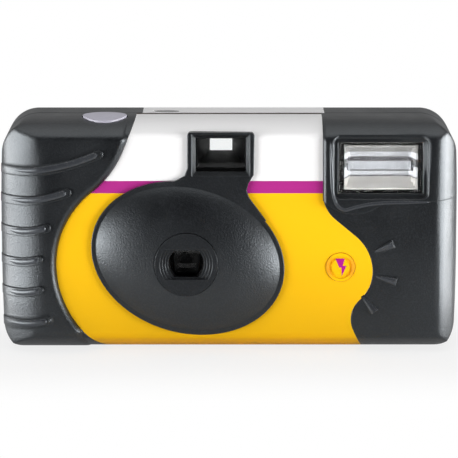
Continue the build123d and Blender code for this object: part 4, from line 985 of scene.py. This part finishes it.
@dataclass
class Covers(Assembly):
    """Front and back shells with their label films, and the rounded crests on the front shell."""

    finishes = {
        "front_cover": COVER, "back_cover": COVER, "front_label": LABEL, "back_label": LABEL,
    }
    rib_start: float = -57.4 * MM
    # Where a rib's arc starts, the height of its level part, and its tip across and up.
    rib_paths_mm: tuple[tuple[float, float, float, float], ...] = (
        (-54.0, 47.5, -33.3, 52.0), (-54.0, 39.8, -41.4, 42.1), (-54.0, 31.7, -46.7, 32.9),
        (-55.0, 23.7, -48.8, 24.6), (-55.0, 15.7, -48.7, 16.6), (-55.0, 7.6, -46.7, 8.6),
    )
    rib_half: float = 0.85 * MM
    rib_height: float = 0.42 * MM
    rib_end: float = 0.15
    rib_growth: float = 2.6
    rib_tip: float = 0.02
    rib_steps: int = 26
    # A ray's distance from the button's middle, half width and height, where it starts and where it ends.
    ray_near: Point = (9.5 * MM, 0.405 * MM, 0.15 * MM)
    ray_far: Point = (14.65 * MM, 0.945 * MM, 0.5 * MM)
    ray_angles: tuple[float, ...] = (24.0, -15.0, -53.0)
    ray_steps: int = 8
    rim_half: float = 0.5 * MM
    rim_height: float = 0.4 * MM
    rim_end: float = 0.2
    rim_growth: float = 4.0
    rim_path_mm: Path = (
        (25.7, 57.8), (25.9, 52.8), (26.2, 46.3), (26.6, 41.9), (27.5, 38.8), (29.5, 37.4),
        (32.0, 38.0), (36.1, 38.9), (41.3, 39.3), (46.4, 39.4), (51.5, 39.5), (55.0, 39.6),
    )
    rim_steps: int = 6
    sink: float = 0.15 * MM
    facets: int = 10
    reach: float = 100 * MM

    def surface(self, x: float, z: float) -> tuple[Vector, Vector]:
        """Finds the front cover's surface straight behind a point.

        Args:
            x: Place across.
            z: Height.

        Returns:
            The point on the surface and the surface's normal.
        """
        cover = self.frame["nodes"]["front_cover"]
        inward, way = cover.matrix_world.inverted(), Vector((0.0, 1.0, 0.0))
        hit, point, normal, _ = cover.ray_cast(inward @ Vector((x, -self.reach, z)), inward.to_3x3() @ way)
        if not hit:
            raise ValueError(f"no cover behind {x:.4f}, {z:.4f}")
        return cover.matrix_world @ point, (cover.matrix_world.to_3x3() @ normal).normalized()

    def lay(self, name: str, line: Line) -> None:
        """Makes a half-round ridge that lies on the cover.

        Args:
            name: The piece's name.
            line: Places across and up, half width and height, from end to end.
        """
        bm = bmesh.new()
        rings = []
        spots = [self.surface(x, z) for x, z, _, _ in line]
        for index, (_, _, half, height) in enumerate(line):
            point, normal = spots[index]
            before, after = spots[max(index - 1, 0)][0], spots[min(index + 1, len(spots) - 1)][0]
            side = (after - before).cross(normal).normalized()
            turns = [math.pi * step / self.facets for step in range(self.facets + 1)]
            rings.append([bm.verts.new(point + side * (half * math.cos(turn))
                                       + normal * (height * math.sin(turn) - self.sink)) for turn in turns])
        for near, far in zip(rings, rings[1:]):
            for step in range(self.facets):
                bm.faces.new((near[step], near[step + 1], far[step + 1], far[step]))
            bm.faces.new((near[-1], near[0], far[0], far[-1]))
        bm.faces.new(rings[0])
        bm.faces.new(rings[-1])
        self.keep(Maker.finish(name, bm), "camera", RIDGE_PAINTED_SHEEN, "cover_plastic")

    def rib_line(self, bend: float, level: float, tip_x: float, tip_z: float) -> Line:
        """Gives the line of one grip rib: level, then an upward arc, tapered out at its left end.

        Args:
            bend: Where the arc starts across.
            level: Height of the level part.
            tip_x: The tip across.
            tip_z: The tip's height.

        Returns:
            Places across and up, half widths and heights.
        """
        radius = ((tip_x - bend) ** 2 + (tip_z - level) ** 2) / (2 * (tip_z - level))
        line = []
        for step in range(self.rib_steps + 1):
            share = step / self.rib_steps
            x = self.rib_start + (tip_x - self.rib_start) * share
            rise = radius - math.sqrt(radius ** 2 - (x - bend) ** 2) if x > bend else 0.0
            to_tip = (1 - share) * (tip_x - self.rib_start)
            rounded = math.sqrt(max(self.rib_tip, 1 - max(0.0, 1 - to_tip / self.rib_half) ** 2))
            full = min(1.0, self.rib_end + share * self.rib_growth) * rounded
            line.append((x, level + rise, self.rib_half * full, self.rib_height * full))
        return line

    def rim_line(self) -> Line:
        """Gives the line of the flash housing's rim, a smooth curve through the path's points.

        Returns:
            Places across and up, half widths and heights.
        """
        path = [Vector((x * MM, z * MM)) for x, z in self.rim_path_mm]
        ends = [path[0] * 2 - path[1], *path, path[-1] * 2 - path[-2]]
        spots = []
        for index in range(1, len(ends) - 2):
            before, first, second, after = ends[index - 1:index + 3]
            for step in range(self.rim_steps):
                share = step / self.rim_steps
                spots.append((first * 2 + (second - before) * share
                              + (before * 2 - first * 5 + second * 4 - after) * share ** 2
                              + (first * 3 - before - second * 3 + after) * share ** 3) / 2)
        count = len(spots)
        full = [min(1.0, self.rim_end + self.rim_growth * min(index, count - 1 - index) / count)
                for index in range(count)]
        return [(spot.x, spot.y, self.rim_half * share, self.rim_height * share)
                for spot, share in zip(spots, full)]

    def ray_line(self, middle: Vector, degrees: float) -> Line:
        """Gives the line of one ray, which widens and rises away from the flash button.

        Args:
            middle: The button's middle.
            degrees: The ray's direction, from the right.

        Returns:
            Places across and up, half widths and heights.
        """
        turn = math.radians(degrees)
        line = []
        for step in range(self.ray_steps + 1):
            share = step / self.ray_steps
            far, half, height = (near + (end - near) * share
                                 for near, end in zip(self.ray_near, self.ray_far))
            line.append((middle.x + far * math.cos(turn), middle.z + far * math.sin(turn), half, height))
        return line

    def build(self) -> None:
        """Lays the rounded crests on the flash housing's rim, the grip's ribs and the rays."""
        bpy.context.view_layer.update()
        self.lay("flash_housing_rim", self.rim_line())
        for number, path in enumerate(self.rib_paths_mm, 1):
            self.lay(f"grip_rib_crest_{number}", self.rib_line(*(place * MM for place in path)))
        low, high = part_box("flash_button")
        for number, degrees in enumerate(self.ray_angles, 1):
            self.lay(f"ray_crest_{number}", self.ray_line((low + high) / 2, degrees))


class LensFront(Assembly):
    """Lens ring, taking lens and the barrel behind them."""

    finishes = {
        "lens_ring": RING, "taking_lens": CLEAR, "lens_barrel": INNER, "aperture_plate": INNER,
    }


class Viewfinder(Assembly):
    """See-through finder."""

    finishes = {
        "viewfinder_tunnel": TUNNEL, "viewfinder_front_lens": CLEAR, "viewfinder_eyepiece": CLEAR,
    }


class FlashUnit(Assembly):
    """Flash window, reflector and tube, and the ready lamp."""

    finishes = {
        "flash_window": FLUTED, "flash_reflector": REFLECTOR_PAINTED, "flash_tube": GLASS, "ready_lamp": NEON,
    }


@dataclass
class FlashButton(Assembly):
    """Flash button with its generic bolt, and the switch spring behind it."""

    finishes = {
        "flash_button": BUTTON_YELLOW, "switch_spring": STEEL,
    }
    ink: float = 0.03 * MM
    bolt_height: float = 4.5 * MM
    bolt_shares: Path = (
        (-0.30, 0.50), (-0.06, -0.02), (0.05, -0.02), (0.08, -0.50), (0.34, 0.08), (0.13, 0.08), (0.24, 0.50),
    )

    def build(self) -> None:
        """Prints the bolt on the button's face."""
        low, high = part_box("flash_button")
        middle = (low + high) / 2
        corners = [(middle.x + u * self.bolt_height, middle.z + v * self.bolt_height)
                   for u, v in self.bolt_shares]
        bolt = Maker.plate("flash_bolt", corners, low.y - self.ink, low.y + self.ink)
        self.keep(bolt, "flash_switch", INK_PURPLE, "button_plastic")


class Winding(Assembly):
    """Thumbwheel, cartridge, film, spools and sprocket."""

    finishes = {
        "thumbwheel": COVER, "cartridge_spool": NATURAL, "cartridge_shell": CARTRIDGE, "film_strip": FILM,
        "supply_spool": INNER, "film_roll": ROLL, "sprocket": NATURAL,
    }


@dataclass
class Counter(Assembly):
    """Exposure counter: dial with its numbers, and the window over it."""

    finishes = {
        "counter_wheel": DIAL, "counter_window": CLEAR,
    }
    shots: int = 27
    step: int = 3
    figure: float = 2.0 * MM
    ink: float = 0.04 * MM
    ring_share: float = 0.74

    def build(self) -> None:
        """Prints the numbers round the dial."""
        low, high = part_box("counter_wheel")
        middle = (low + high) / 2
        radius = (high.x - low.x) / 2 * self.ring_share
        numbers = [*range(self.shots, 0, -self.step), 0]
        for index, number in enumerate(numbers):
            angle = 2 * math.pi * index / len(numbers)
            place = (Matrix.Translation((middle.x, middle.y, high.z)) @ Matrix.Rotation(angle, 4, "Z")
                     @ Matrix.Translation((0, radius, 0)))
            piece = Maker.numeral(f"dial_number_{number}", str(number), self.figure, self.ink, place)
            self.keep(piece, "counter", INK_BLACK, "dial_plastic")


class Shutter(Assembly):
    """Shutter button, blade, levers and springs on the inner frame."""

    finishes = {
        "shutter_button": BUTTON_GREY, "shutter_blade": BLACK_STEEL, "metering_lever": NATURAL,
        "high_energy_lever": NATURAL, "lever_spring": STEEL, "blade_spring": STEEL, "chassis": INNER,
    }


class Electronics(Assembly):
    """Flash board with its parts, the cell and its contacts."""

    finishes = {
        "battery_cell": CELL, "battery_contacts": STEEL, "flash_board": BOARD, "main_capacitor": CAPACITOR,
        "step_up_transformer": WIRE, "trigger_coil": TAPE, "board_components": INK_BLACK,
    }


@dataclass
class Station:
    """Something that hangs round the camera body and looks at it."""

    name: str
    azimuth: float
    elevation: float
    distance: float

    def place(self, data: bpy.types.ID, target: Vector) -> bpy.types.Object:
        """Puts a lamp or a camera in its place.

        Args:
            data: The lamp's or the camera's data.
            target: The point that it looks at.

        Returns:
            The object.
        """
        turn, lift = math.radians(self.azimuth), math.radians(self.elevation)
        back = Vector((math.sin(turn) * math.cos(lift), -math.cos(turn) * math.cos(lift), math.sin(lift)))
        holder = bpy.data.objects.new(self.name, data)
        bpy.context.scene.collection.objects.link(holder)
        holder.location = target + back * self.distance
        holder.rotation_euler = back.to_track_quat("Z", "Y").to_euler()
        log.info("%s in place", self.name)
        return holder


@dataclass
class SoftBox(Station):
    """One large soft lamp."""

    width: float
    height: float
    power: float

    def hang(self, target: Vector) -> None:
        """Hangs the lamp.

        Args:
            target: The point that it looks at.
        """
        lamp = bpy.data.lights.new(self.name, "AREA")
        lamp.shape = "RECTANGLE"
        lamp.size = self.width
        lamp.size_y = self.height
        lamp.energy = self.power
        self.place(lamp, target)


@dataclass
class ViewPoint(Station):
    """The camera that takes the picture, from where the photograph was taken."""

    name: str = "view"
    azimuth: float = 0.0
    elevation: float = 10.0
    distance: float = 0.8
    target: Point = (0.0, 4.0 * MM, 29.3 * MM)
    focal_px: float = 3057.6
    image_px: float = 458.0
    sensor: float = 36.0
    clip: float = 50.0

    def build(self) -> None:
        """Sets up the camera and how colours show."""
        lens = bpy.data.cameras.new(self.name)
        lens.sensor_width = self.sensor
        lens.lens = self.sensor * self.focal_px / self.image_px
        lens.clip_start = self.distance / self.clip
        lens.clip_end = self.distance * self.clip
        bpy.context.scene.camera = self.place(lens, Vector(self.target))
        bpy.context.scene.view_settings.view_transform = "Standard"


@dataclass
class Studio:
    """Pale floor, two side panels and one overhead, in a room that is dim behind the viewer."""

    target: Vector
    lamps: tuple[SoftBox, ...] = (
        SoftBox("panel_left", -77.0, -3.5, 0.8, 1.3, 0.32, 14.4),
        SoftBox("panel_right", 81.0, -3.5, 0.8, 1.3, 0.32, 18.0),
        SoftBox("panel_top", 0.0, 88.0, 0.7, 1.0, 0.8, 2.4),
    )
    floor_size: tuple[float, float] = (118 * MM, 150 * MM)
    floor_shift: float = 50 * MM
    floor_cells: int = 8
    bright_way: Point = (0.0, 0.96, 0.28)
    room_front: float = 0.03
    room_back: float = 0.35
    room_fade: tuple[float, float] = (-0.75, 0.55)
    clear_fade: tuple[float, float] = (-0.1, 0.2)

    def build(self) -> None:
        """Builds the room, the floor and the lamps."""
        for lamp in self.lamps:
            lamp.hang(self.target)
        bm = bmesh.new()
        bmesh.ops.create_grid(bm, x_segments=self.floor_cells, y_segments=self.floor_cells, size=1.0)
        bmesh.ops.scale(bm, verts=bm.verts, vec=(*self.floor_size, 1.0))
        bmesh.ops.translate(bm, verts=bm.verts, vec=(0.0, self.floor_shift, 0.0))
        floor = Maker.finish("floor", bm)
        floor.data.materials.append(FLOOR.material())
        log.info("floor laid")
        self.fill_room()

    def fill_room(self) -> None:
        """Gives the room its light: white to the camera and through clear parts, dim behind the viewer."""
        world = bpy.data.worlds.new("room")
        bpy.context.scene.world = world
        world.use_nodes = True
        world.node_tree.nodes.clear()
        graph = Graph(world.node_tree)
        way = graph.add("ShaderNodeTexCoord").outputs["Generated"]
        towards = graph.add("ShaderNodeVectorMath", {0: way, 1: self.bright_way},
                            operation="DOT_PRODUCT").outputs["Value"]
        level = graph.remap(towards, *self.room_fade, self.room_front, self.room_back)
        seen = graph.add("ShaderNodeLightPath").outputs
        through = graph.times(seen["Is Transmission Ray"], graph.remap(towards, *self.clear_fade))
        strength = graph.most(level, graph.most(seen["Is Camera Ray"], through))
        room = graph.add("ShaderNodeBackground", {"Color": (1.0, 1.0, 1.0), "Strength": strength})
        graph.add("ShaderNodeOutputWorld", {"Surface": room.outputs[0]})
        log.info("room lit")


def main() -> None:
    """Loads the frame, dresses each sub-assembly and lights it."""
    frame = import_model()
    assemblies: list[Assembly] = [
        part(frame) for part in (Covers, LensFront, Viewfinder, FlashUnit, FlashButton, Winding, Counter,
                                 Shutter, Electronics)
    ]
    for assembly in assemblies:
        assembly.dress()
        assembly.build()
    undressed = set(frame["nodes"]) - {name for assembly in assemblies for name in assembly.finishes}
    if undressed:
        raise ValueError(f"nodes with no finish: {sorted(undressed)}")
    view = ViewPoint()
    view.build()
    Studio(Vector(view.target)).build()
    bpy.context.view_layer.update()
    log.info("sizes written")


if __name__ == "__main__":
    main()
